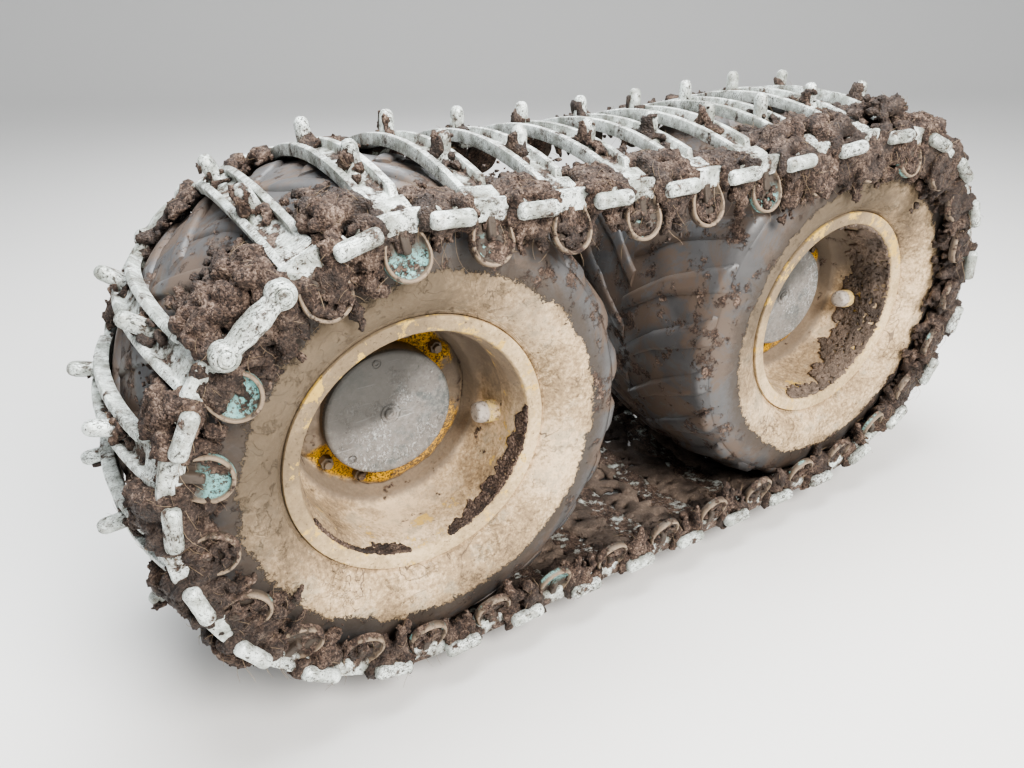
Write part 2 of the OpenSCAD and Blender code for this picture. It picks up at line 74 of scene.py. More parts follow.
# %% Wheel sizes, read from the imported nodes
FRONT, REAR = -1, 1
SIDES = {FRONT: "front", REAR: "rear"}
hub_low, hub_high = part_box("hub_cover_rear")
tyre_low, tyre_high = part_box("tyre_rear")
rim_low, rim_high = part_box("rim_rear")
HALF_BASE = (hub_low.x + hub_high.x) / 2
AXLE_Z = (hub_low.z + hub_high.z) / 2
TYRE_Y = (tyre_low.y + tyre_high.y) / 2
TYRE_R = (tyre_high.x - tyre_low.x) / 2
RIM_R = (rim_high.x - rim_low.x) / 2
RIM_HALF = (rim_high.y - rim_low.y) / 2
FLOOR_Z = cad_box[0].z
CROWN_R = 1.085
print("half base", round(HALF_BASE, 3), "tyre", round(TYRE_R, 3), "rim", round(RIM_R, 3))

# %% The track's path and its spacings
LINK_R = TYRE_R - 0.050
TOP_SAG = 0.030
SHOE_COUNT = 32
LINK_PINS = 0.067
COUPLING_PINS = 0.160
COUPLING_AT = 1.191
RUN_GAP = 0.005

sag_reach = (HALF_BASE**2 + TOP_SAG**2) / (2 * TOP_SAG)
sag_r = sag_reach - LINK_R
lean = math.asin(HALF_BASE / sag_reach)
sag_z = sag_reach * math.cos(lean)
run_bottom = 2 * HALF_BASE
run_wrap = (math.pi + lean) * LINK_R
run_top = 2 * lean * sag_r
loop_len = run_bottom + 2 * run_wrap + run_top
PITCH = (loop_len - COUPLING_PINS + LINK_PINS) / SHOE_COUNT
SHOE_PINS = PITCH - LINK_PINS
COUPLING_S = run_bottom + run_wrap + run_top / 2 + COUPLING_AT
FIRST_SHOE = COUPLING_S + (COUPLING_PINS + SHOE_PINS) / 2


def path(s):
    """The link pins' place (x, z) at a distance along the track, with the wheel axes at z = 0."""
    d = s % loop_len
    if d < run_bottom:
        return d - HALF_BASE, -LINK_R
    d -= run_bottom
    if d < run_wrap:
        a = d / LINK_R - math.pi / 2
        return HALF_BASE + LINK_R * math.cos(a), LINK_R * math.sin(a)
    d -= run_wrap
    if d < run_top:
        a = lean - math.pi / 2 - d / sag_r
        return sag_r * math.cos(a), sag_z + sag_r * math.sin(a)
    a = math.pi / 2 - lean + (d - run_top) / LINK_R
    return -HALF_BASE + LINK_R * math.cos(a), LINK_R * math.sin(a)


def on_track(s, span):
    """Matrix from a shoe's own axes to the frame: x along, y across, z away from the wheels."""
    (px, pz), (qx, qz) = path(s - span / 2), path(s + span / 2)
    along = Vector((px - qx, 0, pz - qz)).normalized()
    across = Vector((0, 1, 0))
    turn = Matrix((along, across, along.cross(across))).transposed().to_4x4()
    return Matrix.Translation(((px + qx) / 2, TYRE_Y, (pz + qz) / 2 + AXLE_Z)) @ turn


SHOES = [on_track(FIRST_SHOE + i * PITCH, SHOE_PINS) for i in range(SHOE_COUNT)]
print("loop", round(loop_len, 3), "pitch", round(PITCH, 4))

# %% [markdown]
# ## Small helpers for meshes
# Most pieces here are turned or drawn along a path, so two helpers do nearly all the work. One
# lays a skin over a row of rings, and one rounds the corners of an outline. Rounded edges catch
# the light, which is what makes cast steel read as steel.


# %% Skins over rings, and rounded outlines
def skin(rings, loop=False):
    """Points and faces over a row of closed rings: capped at both ends, or joined into a loop."""
    count = len(rings[0])
    points = [tuple(p) for ring in rings for p in ring]
    faces = []
    for i in range(len(rings) - (not loop)):
        a, b = i * count, (i + 1) % len(rings) * count
        for j in range(count):
            k = (j + 1) % count
            faces.append((a + j, a + k, b + k, b + j))
    if not loop:
        faces.append(tuple(reversed(range(count))))
        faces.append(tuple(range(len(points) - count, len(points))))
    return points, faces


def rounded(corners, steps):
    """A closed outline of (x, y, radius) corners, each drawn as a short curve."""
    points = []
    for i, (x, y, radius) in enumerate(corners):
        here = Vector((x, y))
        back = Vector(corners[i - 1][:2]) - here
        on = Vector(corners[(i + 1) % len(corners)][:2]) - here
        if radius <= 0:
            points.append(here)
            continue
        start = here + back.normalized() * min(radius, back.length * 0.49)
        end = here + on.normalized() * min(radius, on.length * 0.49)
        for k in range(steps + 1):
            t = k / steps
            points.append(start * (1 - t) ** 2 + here * 2 * t * (1 - t) + end * t**2)
    return points


# %% From skins to one mesh object
def set_at(matrix, part):
    """A skin's points moved by a matrix."""
    points, faces = part
    return [tuple(matrix @ Vector(p)) for p in points], faces


def made(name, parts, sharp=40):
    """One mesh object of several closed skins, faces outwards, smooth up to an angle in degrees."""
    bm = bmesh.new()
    for points, faces in parts:
        verts = [bm.verts.new(p) for p in points]
        for face in faces:
            bm.faces.new([verts[i] for i in face])
    bmesh.ops.remove_doubles(bm, verts=bm.verts, dist=1e-6)
    bmesh.ops.dissolve_degenerate(bm, edges=bm.edges, dist=1e-7)
    bmesh.ops.recalc_face_normals(bm, faces=bm.faces)
    for face in bm.faces:
        face.smooth = True
    mesh = bpy.data.meshes.new(name)
    bm.to_mesh(mesh)
    bm.free()
    mesh.set_sharp_from_angle(angle=math.radians(sharp))
    return added(name, mesh)


def added(name, mesh):
    """Puts a mesh into the scene as an object."""
    piece = bpy.data.objects.new(name, mesh)
    bpy.context.scene.collection.objects.link(piece)
    return piece


# %% Turned shapes on a wheel's axis
def wheel_point(side, radius, angle, out):
    """A point around a wheel's axis, at a place outwards from the middle of the tyre."""
    x, z = radius * math.cos(angle), radius * math.sin(angle)
    return side * HALF_BASE + x, TYRE_Y - out, AXLE_Z + z


def turned(side, outline, count):
    """A closed outline of (radius, outward place) turned around a wheel's axis."""
    turns = [2 * math.pi * k / count for k in range(count)]
    return skin([[wheel_point(side, r, a, out) for a in turns] for r, out in outline], loop=True)


# %% [markdown]
# ## Node trees as Python
# Materials and Geometry Nodes are both trees of nodes. Written call by call they are hard to
# read, so a small class wraps a socket: a sum or a product of sockets adds the Math node for it.
# One method adds every other kind of node. It sets the node's own settings first, because they
# decide which sockets it has.


# %% A socket that can be used in an expression
def rgb(red, green, blue):
    """A colour in linear light."""
    return (red, green, blue, 1.0)


class Socket:
    """An output socket. Arithmetic on it adds Math nodes to its tree."""

    def __init__(self, tree, link):
        self.tree, self.link = tree, link

    def math(self, operation, *values):
        return self.tree.add("ShaderNodeMath", {"operation": operation}, dict(enumerate(values)))

    def __add__(self, other):
        return self.math("ADD", self, other)

    def __sub__(self, other):
        return self.math("SUBTRACT", self, other)

    def __rsub__(self, other):
        return self.math("SUBTRACT", other, self)

    def __mul__(self, other):
        return self.math("MULTIPLY", self, other)

    def __truediv__(self, other):
        return self.math("DIVIDE", self, other)

    __radd__, __rmul__ = __add__, __mul__


# %% A tree that takes each node in one call
class Tree:
    """Adds nodes to a tree, each in one call."""

    def __init__(self, nodes):
        self.nodes = nodes

    def add(self, kind, settings=None, sockets=None, output=0):
        node = self.nodes.nodes.new(kind)
        for name, value in (settings or {}).items():
            if name == "stops":
                set_stops(node.color_ramp, value)
            else:
                setattr(node, name, value)
        for key, value in (sockets or {}).items():
            if isinstance(value, Socket):
                self.nodes.links.new(value.link, node.inputs[key])
            else:
                node.inputs[key].default_value = value
        return Socket(self, node.outputs[output]) if node.outputs else None


def set_stops(ramp, stops):
    """Gives a colour ramp its (place, colour) stops."""
    while len(ramp.elements) > 1:
        ramp.elements.remove(ramp.elements[-1])
    for i, (place, colour) in enumerate(stops):
        element = ramp.elements[0] if i == 0 else ramp.elements.new(place)
        element.position, element.color = place, colour


# %% A material's tree, with the patterns that every finish here uses
class Finish(Tree):
    """A new material. Its patterns are read from the object's own coordinates."""

    def __init__(self, name):
        self.material = bpy.data.materials.new(name)
        self.material.use_nodes = True
        super().__init__(self.material.node_tree)
        self.nodes.nodes.clear()
        self.place = self.add("ShaderNodeTexCoord", output="Object")

    def noise(self, scale, detail=4.0, rough=0.55, warp=0.0, at=None):
        sockets = {"Vector": at or self.place, "Scale": scale, "Detail": detail}
        sockets.update({"Roughness": rough, "Distortion": warp})
        return self.add("ShaderNodeTexNoise", None, sockets)

    def grains(self, scale):
        """Crumbly grains: how high each rises, and a tone of its own."""
        spots = self.add("ShaderNodeTexVoronoi", None, {"Vector": self.place, "Scale": scale})
        tone = Socket(self, spots.link.node.outputs["Color"])
        return 1 - spots, tone * 1.0

    def stretched(self, x, y, z):
        sockets = {0: self.place, 1: (x, y, z)}
        return self.add("ShaderNodeVectorMath", {"operation": "MULTIPLY"}, sockets)

    def step(self, value, low, high):
        """0 below low, 1 above high, with a smooth ramp between them."""
        sockets = {0: value, 1: low, 2: high}
        return self.add("ShaderNodeMapRange", {"interpolation_type": "SMOOTHSTEP"}, sockets)

    def mix(self, a, b, share):
        return self.add("ShaderNodeMix", {"data_type": "RGBA"}, {0: share, 6: a, 7: b}, output=2)

    def ramp(self, value, *stops):
        return self.add("ShaderNodeValToRGB", {"stops": stops}, {0: value})

    def attribute(self, name):
        return self.add("ShaderNodeAttribute", {"attribute_name": name}, output="Fac")

    def axes(self):
        place = self.add("ShaderNodeSeparateXYZ", None, {0: self.place})
        outputs = place.link.node.outputs
        return [Socket(self, outputs[i]) for i in range(3)]

    def done(self, colour, roughness, height=None, relief=0.002, metallic=0.0):
        """Links the surface: height is a relief, in shares of its depth in metres."""
        sockets = {"Base Color": colour, "Roughness": roughness, "Metallic": metallic}
        if height is not None:
            bump = {"Height": height, "Distance": relief, "Strength": 1.0}
            sockets["Normal"] = self.add("ShaderNodeBump", None, bump)
        shader = self.add("ShaderNodeBsdfPrincipled", None, sockets)
        self.add("ShaderNodeOutputMaterial", None, {"Surface": shader})
        return self.material


# %% [markdown]
# ## Finishes
# Every finish is procedural: noise at a few sizes gives the tone, the same noise gives the
# relief, and masks lay one layer over another, as the real machine is layered: steel or paint
# first, then damp mud, then dried mud. Patterns sit on the piece's own coordinates, so they
# stay put when a wheel turns.


# %% [markdown]
# ### Mud
# The mud is dark and reddish while wet, paler once dry, and full of rotten fibres. One flat
# brown would look like clay. Three patterns are added up instead: clods from a coarse noise,
# fibres from a fine and warped noise, and grains from a Voronoi pattern.

# %% Packed mud: dark, reddish and full of fibres
def mud_layer(f):
    """Colour and height of the mud, for a mud piece or for the dirt on another finish."""
    clods = f.noise(30, 8, 0.68)
    fibres = f.noise(110, 5, 0.75, warp=1.2)
    rise, tone = f.grains(210)
    shade = clods * 0.52 + fibres * 0.30 + tone * 0.18
    colour = f.ramp(
        shade,
        (0.36, rgb(0.011, 0.0075, 0.0060)),
        (0.46, rgb(0.046, 0.0300, 0.0230)),
        (0.54, rgb(0.116, 0.0770, 0.0580)),
        (0.65, rgb(0.310, 0.2280, 0.1760)),
    )
    return colour, clods * 0.5 + fibres * 0.25 + rise * 0.25


def packed_mud(name="packed_mud", dry=0.0):
    f = Finish(name)
    colour, height = mud_layer(f)
    colour = f.mix(colour, rgb(0.30, 0.235, 0.185), dry)
    damp = f.step(f.noise(5, 3), 0.44, 0.60)
    colour = f.mix(colour, f.mix(colour, rgb(0.020, 0.013, 0.010), 0.62), damp)
    return f.done(colour, 0.92 - damp * 0.35, height, 0.016)


def dry_fibre():
    f = Finish("dry_fibre")
    colour = f.mix(rgb(0.10, 0.065, 0.045), rgb(0.42, 0.32, 0.21), f.noise(45, 2))
    return f.done(colour, 0.9)


# %% [markdown]
# ### Cast steel
# The shoes are cast and rubbed bright in use, with scratches, pits and mud in their
# hollows. A noise on stretched coordinates draws the scratches and a fine one draws the pits.
# Noise can't know where the hollows are, so an attribute painted on the mesh says that.

# %% Cast steel, rubbed bright and pitted, with mud in its hollows
def worn_steel(name, low_dirt=0.0):
    f = Finish(name)
    mud, mud_height = mud_layer(f)
    bright = f.step(f.noise(15, 7, 0.66), 0.38, 0.60)
    steel = f.mix(rgb(0.34, 0.36, 0.32), rgb(0.82, 0.87, 0.83), bright)
    patches = f.step(f.noise(11, 4, 0.6), 0.40, 0.60)
    grime = f.step(f.noise(34, 7, 0.72), 0.51, 0.62)
    steel = f.mix(steel, rgb(0.27, 0.255, 0.22), grime * 0.5)
    strokes = f.noise(1.0, 5, 0.72, at=f.stretched(85, 330, 85))
    marks = f.step(strokes + patches * 0.05, 0.585, 0.625)
    pits = f.step(f.noise(300, 5, 0.75) + patches * 0.03, 0.580, 0.620)
    marks = marks.math("MAXIMUM", marks, pits)
    steel = f.mix(steel, rgb(0.045, 0.037, 0.030), marks * 0.92)
    low = f.step(0 - f.axes()[2], 0.64, 0.70)
    spread = f.noise(22, 8, 0.72) + f.attribute("recess") * 0.10 + low * low_dirt
    film = f.step(spread, 0.51, 0.63) * 0.6
    steel = f.mix(steel, rgb(0.17, 0.135, 0.105), film)
    dirt = f.step(spread, 0.60, 0.64)
    height = (1 - marks) * 0.3 + f.noise(70, 5) * 0.25 + dirt * mud_height * 1.8
    rough = 0.42 + marks * 0.3 + dirt * 0.25
    return f.done(f.mix(steel, mud, dirt), rough, height, 0.0028, metallic=0.15 - dirt * 0.15)


# %% The paddles: rubbed rims, and turquoise paint left in some of their dishes
def paddle_steel():
    f = Finish("paddle_steel")
    mud, mud_height = mud_layer(f)
    dish, rim, bare = f.attribute("dish"), f.attribute("rim"), f.attribute("bare")
    base = f.mix(rgb(0.026, 0.020, 0.015), rgb(0.098, 0.074, 0.056), f.noise(30, 6, 0.68))
    paint = f.step(f.noise(22, 6, 0.66) + bare * 0.16, 0.575, 0.625)
    chips = f.step(f.noise(150, 5, 0.75), 0.42, 0.50)
    turquoise = f.mix(rgb(0.05, 0.27, 0.28), rgb(0.36, 0.58, 0.53), f.noise(60, 5, 0.75))
    base = f.mix(base, turquoise, paint * chips * dish)
    worn = f.mix(rgb(0.10, 0.072, 0.048), rgb(0.40, 0.305, 0.215), f.noise(80, 6, 0.78))
    base = f.mix(base, worn, rim * f.step(f.noise(45, 5, 0.65), 0.34, 0.46))
    dirt = f.step(f.noise(17, 8, 0.70) - rim * 0.035 - bare * 0.05, 0.49, 0.54)
    height = f.noise(90, 5, 0.6) * 0.6 + dirt * mud_height * 1.4
    return f.done(f.mix(base, mud, dirt), 0.6 + dirt * 0.3, height, 0.003)


# %% [markdown]
# ### Finishes that follow a wheel
# Dried mud ends in a ring on the tyre, and paint is rubbed off a rim in rings. Both follow the
# distance from the axle. A UV map could hold it, but the object's own coordinates give it with
# two differences and a square root, and it turns with the wheel.

# %% Distance from the wheel's axis, for finishes that follow a ring
def wheel_place(f):
    """Radius and angle of a place around the nearer wheel's axis."""
    x, _, z = f.axes()
    dx = x - x.math("SIGN", x) * HALF_BASE
    dz = z - AXLE_Z
    return x.math("SQRT", dx * dx + dz * dz), x.math("ARCTAN2", dz, dx)


# %% [markdown]
# ### Rubber
# The tread is wet and dark, smeared with mud, and the side wall wears a pale dried coat that
# ends raggedly. A painted mask could draw that edge. Here it is a narrow step on the radius,
# and two noises are added to the radius first, so that the edge frays at two sizes.

# %% Rubber: wet and dark on the tread, under a coat of dried mud on the side wall
COAT_R = 0.488
# Painted shade is darkest at this angle around each wheel, under the track's upper run.
SHADIEST = math.radians(126)


def shade_above(f, angle, low, high):
    """Share of painted shade: most in the upper part of a wheel, which the track overhangs, in
    broad blotches.
    """
    above = angle.math("COSINE", angle - SHADIEST)
    return f.step(above * 0.55 + f.noise(5, 8, 0.72) * 1.1, low, high)


def dried_mud(f):
    """Colour and height of the pale coat that dries on flat rubber and paint."""
    broad = f.noise(4.5, 6, 0.62)
    fine = f.noise(85, 7, 0.70)
    colour = f.ramp(
        broad * 0.55 + fine * 0.45,
        (0.36, rgb(0.160, 0.112, 0.070)),
        (0.47, rgb(0.405, 0.290, 0.172)),
        (0.58, rgb(0.765, 0.580, 0.378)),
    )
    cool = f.step(f.noise(9, 8, 0.74), 0.53, 0.64) * 0.5
    return f.mix(colour, rgb(0.27, 0.25, 0.19), cool), fine


def tyre_rubber():
    f = Finish("tyre_rubber")
    radius, angle = wheel_place(f)
    pale, pale_height = dried_mud(f)
    mud, mud_height = mud_layer(f)
    tone = f.noise(7, 8, 0.70, warp=0.4)
    wet = f.mix(rgb(0.022, 0.023, 0.025), rgb(0.145, 0.140, 0.139), tone)
    smear = f.step(f.noise(6, 8, 0.72, warp=0.8), 0.44, 0.56)
    wet = f.mix(wet, rgb(0.115, 0.080, 0.058), smear * 0.85)
    lumps = f.step(f.noise(13, 8, 0.74), 0.545, 0.600)
    wet = f.mix(wet, mud, lumps)
    aside = angle.math("COSINE", angle + math.radians(40)) * 0.020
    ragged = (f.noise(9, 6, 0.72) - 0.5) * 0.075 + (f.noise(60, 7, 0.85) - 0.5) * 0.095
    edge = radius - aside + ragged
    film = 1 - f.step(edge, COAT_R + 0.010, COAT_R + 0.075)
    wet = f.mix(wet, rgb(0.060, 0.047, 0.037), film * (1 - lumps) * 0.9)
    coat = 1 - f.step(edge, COAT_R - 0.002, COAT_R + 0.002)
    # Painted shade: the pale coat is darkened over the upper part of the side wall, where the track
    # overhangs it.
    damp = shade_above(f, angle, 0.36, 0.98) * 0.92
    pale = f.mix(pale, rgb(0.105, 0.079, 0.052), damp)
    specks = f.step(f.noise(150, 5, 0.75), 0.610, 0.65)
    pale = f.mix(pale, rgb(0.085, 0.064, 0.045), specks * 0.7)
    cracks = f.noise(6, 3, 0.5, warp=1.5) - 0.5
    cracks = 1 - f.step(cracks * cracks, 0.0, 0.00006)
    pale = f.mix(pale, rgb(0.12, 0.09, 0.065), cracks * f.step(f.noise(4, 2), 0.52, 0.60) * 0.8)
    colour = f.mix(wet, pale, coat)
    height = coat * (0.9 + pale_height * 0.5 - cracks * 0.3) + lumps * mud_height
    height = height + f.noise(40, 5) * 0.2
    rough = 0.42 + coat * 0.46 + (1 - coat) * (lumps * 0.4 + smear * 0.18 + film * 0.3)
    return f.done(colour, rough, height, 0.004)


# %% [markdown]
# ### Wheel paint
# The wheels were painted yellow, and little of it shows. Layers are laid in the order in which
# they came: paint, dried coat, grime, chips. The grime and the darker tone on the upper part of
# each wheel are partly painted shade. Each mask is one noise through one step, so a layer can
# be moved or thinned by two numbers.

# %% Wheel paint: yellow, nearly lost under dried mud
def rim_paint():
    f = Finish("rim_paint")
    angle = wheel_place(f)[1]
    out = TYRE_Y - f.axes()[1]
    pale, pale_height = dried_mud(f)
    lip = f.step(out, RIM_HALF - 0.020, RIM_HALF - 0.012)
    # Grime and painted shade: the barrel is darkened towards the top of the wheel, where it lies in
    # shade, and in blotches of mud film.
    grime = f.step(angle.math("SINE", angle + 0.2) * 0.5 + f.noise(7, 7, 0.7) * 0.9, 0.30, 0.95)
    pale = f.mix(pale, rgb(0.200, 0.155, 0.114), grime * (1 - lip) * 0.9)
    smudge = f.step(f.noise(13, 8, 0.76), 0.50, 0.60) * (1 - lip)
    pale = f.mix(pale, rgb(0.260, 0.205, 0.160), smudge * 0.55)
    pale = f.mix(pale, rgb(0.66, 0.49, 0.27), lip * 0.40)
    # Painted shade: the upper part of the lip and barrel is darkened further.
    damp = shade_above(f, angle, 0.50, 1.10) * (0.3 + lip * 0.5)
    pale = f.mix(pale, rgb(0.150, 0.112, 0.072), damp)
    ochre = f.mix(rgb(0.50, 0.28, 0.045), rgb(0.86, 0.62, 0.18), f.noise(70, 5, 0.7))
    shows = f.step(f.noise(13, 8, 0.74) + angle.math("SINE", angle) * lip * 0.03, 0.56, 0.60)
    colour = f.mix(pale, ochre, shows * 0.8)
    marks = f.step(f.noise(130, 6, 0.75), 0.605, 0.65)
    colour = f.mix(colour, rgb(0.10, 0.072, 0.050), marks * 0.8)
    return f.done(colour, 0.86 - shows * 0.2, pale_height - marks * 0.3, 0.003)


def disc_paint():
    f = Finish("disc_paint")
    radius, angle = wheel_place(f)
    pale, pale_height = dried_mud(f)
    mud, mud_height = mud_layer(f)
    # Painted shadow: the disc's face stays dark grey-brown on its upper half and takes the pale
    # coat mostly on its lower half. Near the hub the same grey-brown is a film of dirt.
    grey = f.mix(rgb(0.085, 0.068, 0.053), rgb(0.230, 0.180, 0.135), f.noise(20, 7, 0.70))
    low = f.step(f.noise(8, 6, 0.66) * 0.8 - angle.math("SINE", angle) * 0.9, 0.05, 0.62)
    near = 1 - f.step(radius + f.noise(30, 6, 0.7) * 0.030, 0.252, 0.270)
    smudge = f.step(f.noise(13, 8, 0.76), 0.48, 0.62) * 0.35
    colour = f.mix(grey, pale, low * (0.95 - near * 0.8) * (1 - smudge))
    # Painted shade: a darker ring is laid over the fold's groove, out to the barrel.
    fold = 1 - f.step(radius + f.noise(20, 6, 0.7) * 0.020, 0.282, 0.298)
    fold = f.step(radius, 0.246, 0.256) * fold
    colour = f.mix(colour, rgb(0.175, 0.136, 0.100), fold * 0.84)
    turn = angle.math("COSINE", angle * 2 - 2.05)
    rubbed = near * f.step(turn + f.noise(11, 6, 0.65) * 1.1, 0.80, 1.0)
    chips = f.step(f.noise(170, 5, 0.78), 0.43, 0.50)
    yellow = f.mix(rgb(0.62, 0.26, 0.012), rgb(0.95, 0.60, 0.045), f.noise(60, 5, 0.7))
    yellow = f.mix(rgb(0.040, 0.028, 0.018), yellow, chips)
    under = angle.math("COSINE", angle + math.radians(75))
    rust = near * f.step(under + f.noise(26, 7, 0.72) * 0.9, 0.85, 1.15) * (1 - rubbed)
    specks = f.step(f.noise(120, 6, 0.80), 0.47, 0.56)
    orange = f.mix(rgb(0.125, 0.085, 0.045), rgb(0.80, 0.43, 0.050), specks)
    colour = f.mix(f.mix(colour, orange, rust * 0.85), yellow, rubbed)
    dirt = f.step(f.noise(12, 8, 0.70), 0.60, 0.65) * (1 - rubbed)
    height = pale_height + chips * rubbed * 0.4 + dirt * mud_height
    return f.done(f.mix(colour, mud, dirt), 0.85 - rubbed * 0.3, height, 0.003)


# %% [markdown]
# ### Bare metal
# The hub covers and the caps of the valve guards are bare and scuffed all over. A scuff is
# small, bright and sharp-edged, so the noises pass through narrow steps, and the largest of
# dots, strokes and long lines is taken at each place.

# %% The valve guard: a pale yellow foot, and a bare grey cap
def guard_paint():
    f = Finish("guard_paint")
    radius = wheel_place(f)[0]
    pale, pale_height = dried_mud(f)
    foot = f.step(radius + f.noise(40, 4, 0.6) * 0.010, 0.268, 0.273)
    yellow = f.mix(rgb(0.44, 0.30, 0.09), rgb(0.76, 0.57, 0.24), f.noise(60, 6, 0.75))
    shows = f.step(f.noise(30, 7, 0.75), 0.42, 0.52)
    grey = f.mix(rgb(0.26, 0.220, 0.185), rgb(0.66, 0.585, 0.515), f.noise(55, 8, 0.8))
    colour = f.mix(grey, f.mix(pale, yellow, shows), foot)
    dark = f.step(f.noise(90, 7, 0.8), 0.55, 0.60)
    colour = f.mix(colour, rgb(0.080, 0.060, 0.045), dark * 0.7)
    return f.done(colour, 0.8, pale_height - dark * 0.4, 0.003)


# %% The hub cover: bare grey metal, scuffed and scratched
def scuffed_metal():
    f = Finish("scuffed_metal")
    angle = wheel_place(f)[1]
    warm = f.mix(rgb(0.118, 0.112, 0.104), rgb(0.315, 0.282, 0.252), f.noise(7, 8, 0.76))
    grey = f.mix(warm, rgb(0.100, 0.116, 0.114), f.step(f.noise(8, 8, 0.74), 0.50, 0.60) * 0.8)
    grey = f.mix(grey, rgb(0.36, 0.345, 0.325), f.step(f.noise(60, 8, 0.85), 0.44, 0.62) * 0.55)
    places = f.step(f.noise(9, 6, 0.7), 0.47, 0.60)
    dots = f.step(f.noise(100, 7, 0.82), 0.530, 0.575)
    strokes = f.step(f.noise(1.0, 5, 0.7, at=f.stretched(210, 210, 60)), 0.56, 0.60)
    long = f.noise(1.0, 2, 0.4, at=f.stretched(9, 9, 170)) + f.noise(3, 2) * 0.08
    lines = f.step(long, 0.735, 0.750)
    bright = places * dots.math("MAXIMUM", dots * 0.6, strokes * 0.55)
    bright = bright.math("MAXIMUM", bright, lines * 0.3)
    colour = f.mix(grey, rgb(0.84, 0.85, 0.84), bright * 0.9)
    # Painted shade: the cover is darkened towards its upper left, which the rim's lip shades.
    colour = f.mix(colour, rgb(0.055, 0.053, 0.048), shade_above(f, angle, 0.30, 0.96) * 0.86)
    dark = f.step(f.noise(70, 7, 0.8), 0.585, 0.63) * (1 - bright)
    colour = f.mix(colour, rgb(0.05, 0.046, 0.043), dark * 0.7)
    height = 0 - bright * 0.5 + f.noise(60, 6, 0.7) * 0.6
    return f.done(colour, 0.58 - bright * 0.15, height, 0.0024, metallic=0.2)


# %% [markdown]
# ### Machine paint
# The gear case is nearly black, chipped and dusty. It shares its wear with the plain steel and
# with the hubs, so one function takes the base colour and the shine.

# %% Dark machine paint and plain steel, dusted with mud
def machine_finish(name, base, metallic, shine):
    f = Finish(name)
    z = f.axes()[2]
    mud, mud_height = mud_layer(f)
    colour = f.mix(base, rgb(*[c * 1.9 + 0.01 for c in base[:3]]), f.noise(7, 5, 0.6))
    chips = f.step(f.noise(48, 6, 0.72), 0.64, 0.67)
    colour = f.mix(colour, rgb(0.16, 0.085, 0.045), chips)
    film = f.step(f.noise(4.5, 7, 0.66), 0.42, 0.64) * 0.75
    colour = f.mix(colour, rgb(0.235, 0.190, 0.148), film)
    dirt = f.step(f.noise(10, 8, 0.68) - z * 0.10, 0.56, 0.63)
    height = dirt * mud_height * 1.5 + f.noise(130, 3) * 0.15 - chips * 0.2
    rough = shine + film * 0.35 + dirt * 0.3
    return f.done(f.mix(colour, mud, dirt), rough, height, 0.004, metallic=metallic)


# %% All the finishes
STEEL = worn_steel("shoe_steel", low_dirt=0.17)
LINK_STEEL = worn_steel("link_steel")
PADDLE = paddle_steel()
MUD = packed_mud()
DRY_MUD = packed_mud("dry_mud", dry=0.42)
FIBRE = dry_fibre()
RUBBER = tyre_rubber()
RIM_PAINT = rim_paint()
DISC_PAINT = disc_paint()
GUARD_PAINT = guard_paint()
SCUFFED = scuffed_metal()
CASE_PAINT = machine_finish("case_paint", rgb(0.030, 0.034, 0.038), 0.0, 0.45)
PLAIN_STEEL = machine_finish("plain_steel", rgb(0.16, 0.155, 0.15), 0.5, 0.40)
HUB_PAINT = machine_finish("hub_paint", rgb(0.10, 0.075, 0.05), 0.2, 0.5)
print("finishes:", len(bpy.data.materials))

# %% [markdown]
# ## The track, shoe by shoe
# One shoe is drawn once, in its own axes: x along the track, y across it and z away from the
# wheels. A Geometry Nodes tree then sets it on the track's path as often as it repeats, turns
# each copy by the two pins it hangs on, and wears every copy a little differently.


# %% A Geometry Nodes tree with named inputs, and the mesh it grows
class Group(Tree):
    """A new Geometry Nodes tree. Its inputs are (name, socket kind) pairs."""

    def __init__(self, name, *inputs):
        self.group = bpy.data.node_groups.new(name, "GeometryNodeTree")
        super().__init__(self.group)
        face = self.group.interface
        for label, kind in inputs:
            face.new_socket(label, in_out="INPUT", socket_type="NodeSocket" + kind)
        face.new_socket("Geometry", in_out="OUTPUT", socket_type="NodeSocketGeometry")
        node = self.group.nodes.new("NodeGroupInput")
        self.given = {s.name: Socket(self, s) for s in node.outputs if s.name}

    def vector(self, operation, *values):
        settings = {"operation": operation}
        return self.add("ShaderNodeVectorMath", settings, dict(enumerate(values)))

    def scaled(self, vector, amount):
        return self.add("ShaderNodeVectorMath", {"operation": "SCALE"}, {0: vector, 3: amount})

    def noise(self, place, scale, detail):
        sockets = {"Vector": place, "Scale": scale, "Detail": detail}
        return self.add("ShaderNodeTexNoise", None, sockets)

    def worn(self, geometry, amount, grain, seed):
        """Moves a surface along its normal by noise, at most half the amount each way."""
        place = self.add("GeometryNodeInputPosition")
        moved = self.vector("ADD", place, self.scaled((1.7, 2.3, 0.9), seed))
        height = (self.noise(moved, grain, 3.0) - 0.5) * amount
        normal = self.add("GeometryNodeInputNormal")
        offset = self.scaled(normal, height)
        return self.add("GeometryNodeSetPosition", None, {0: geometry, 3: offset})

    def end(self, geometry, material):
        """Real mesh, one finish, and the tree's output."""
        real = self.add("GeometryNodeRealizeInstances", None, {0: geometry})
        shown = self.add("GeometryNodeSetMaterial", None, {0: real, 2: material})
        self.add("NodeGroupOutput", None, {0: shown})


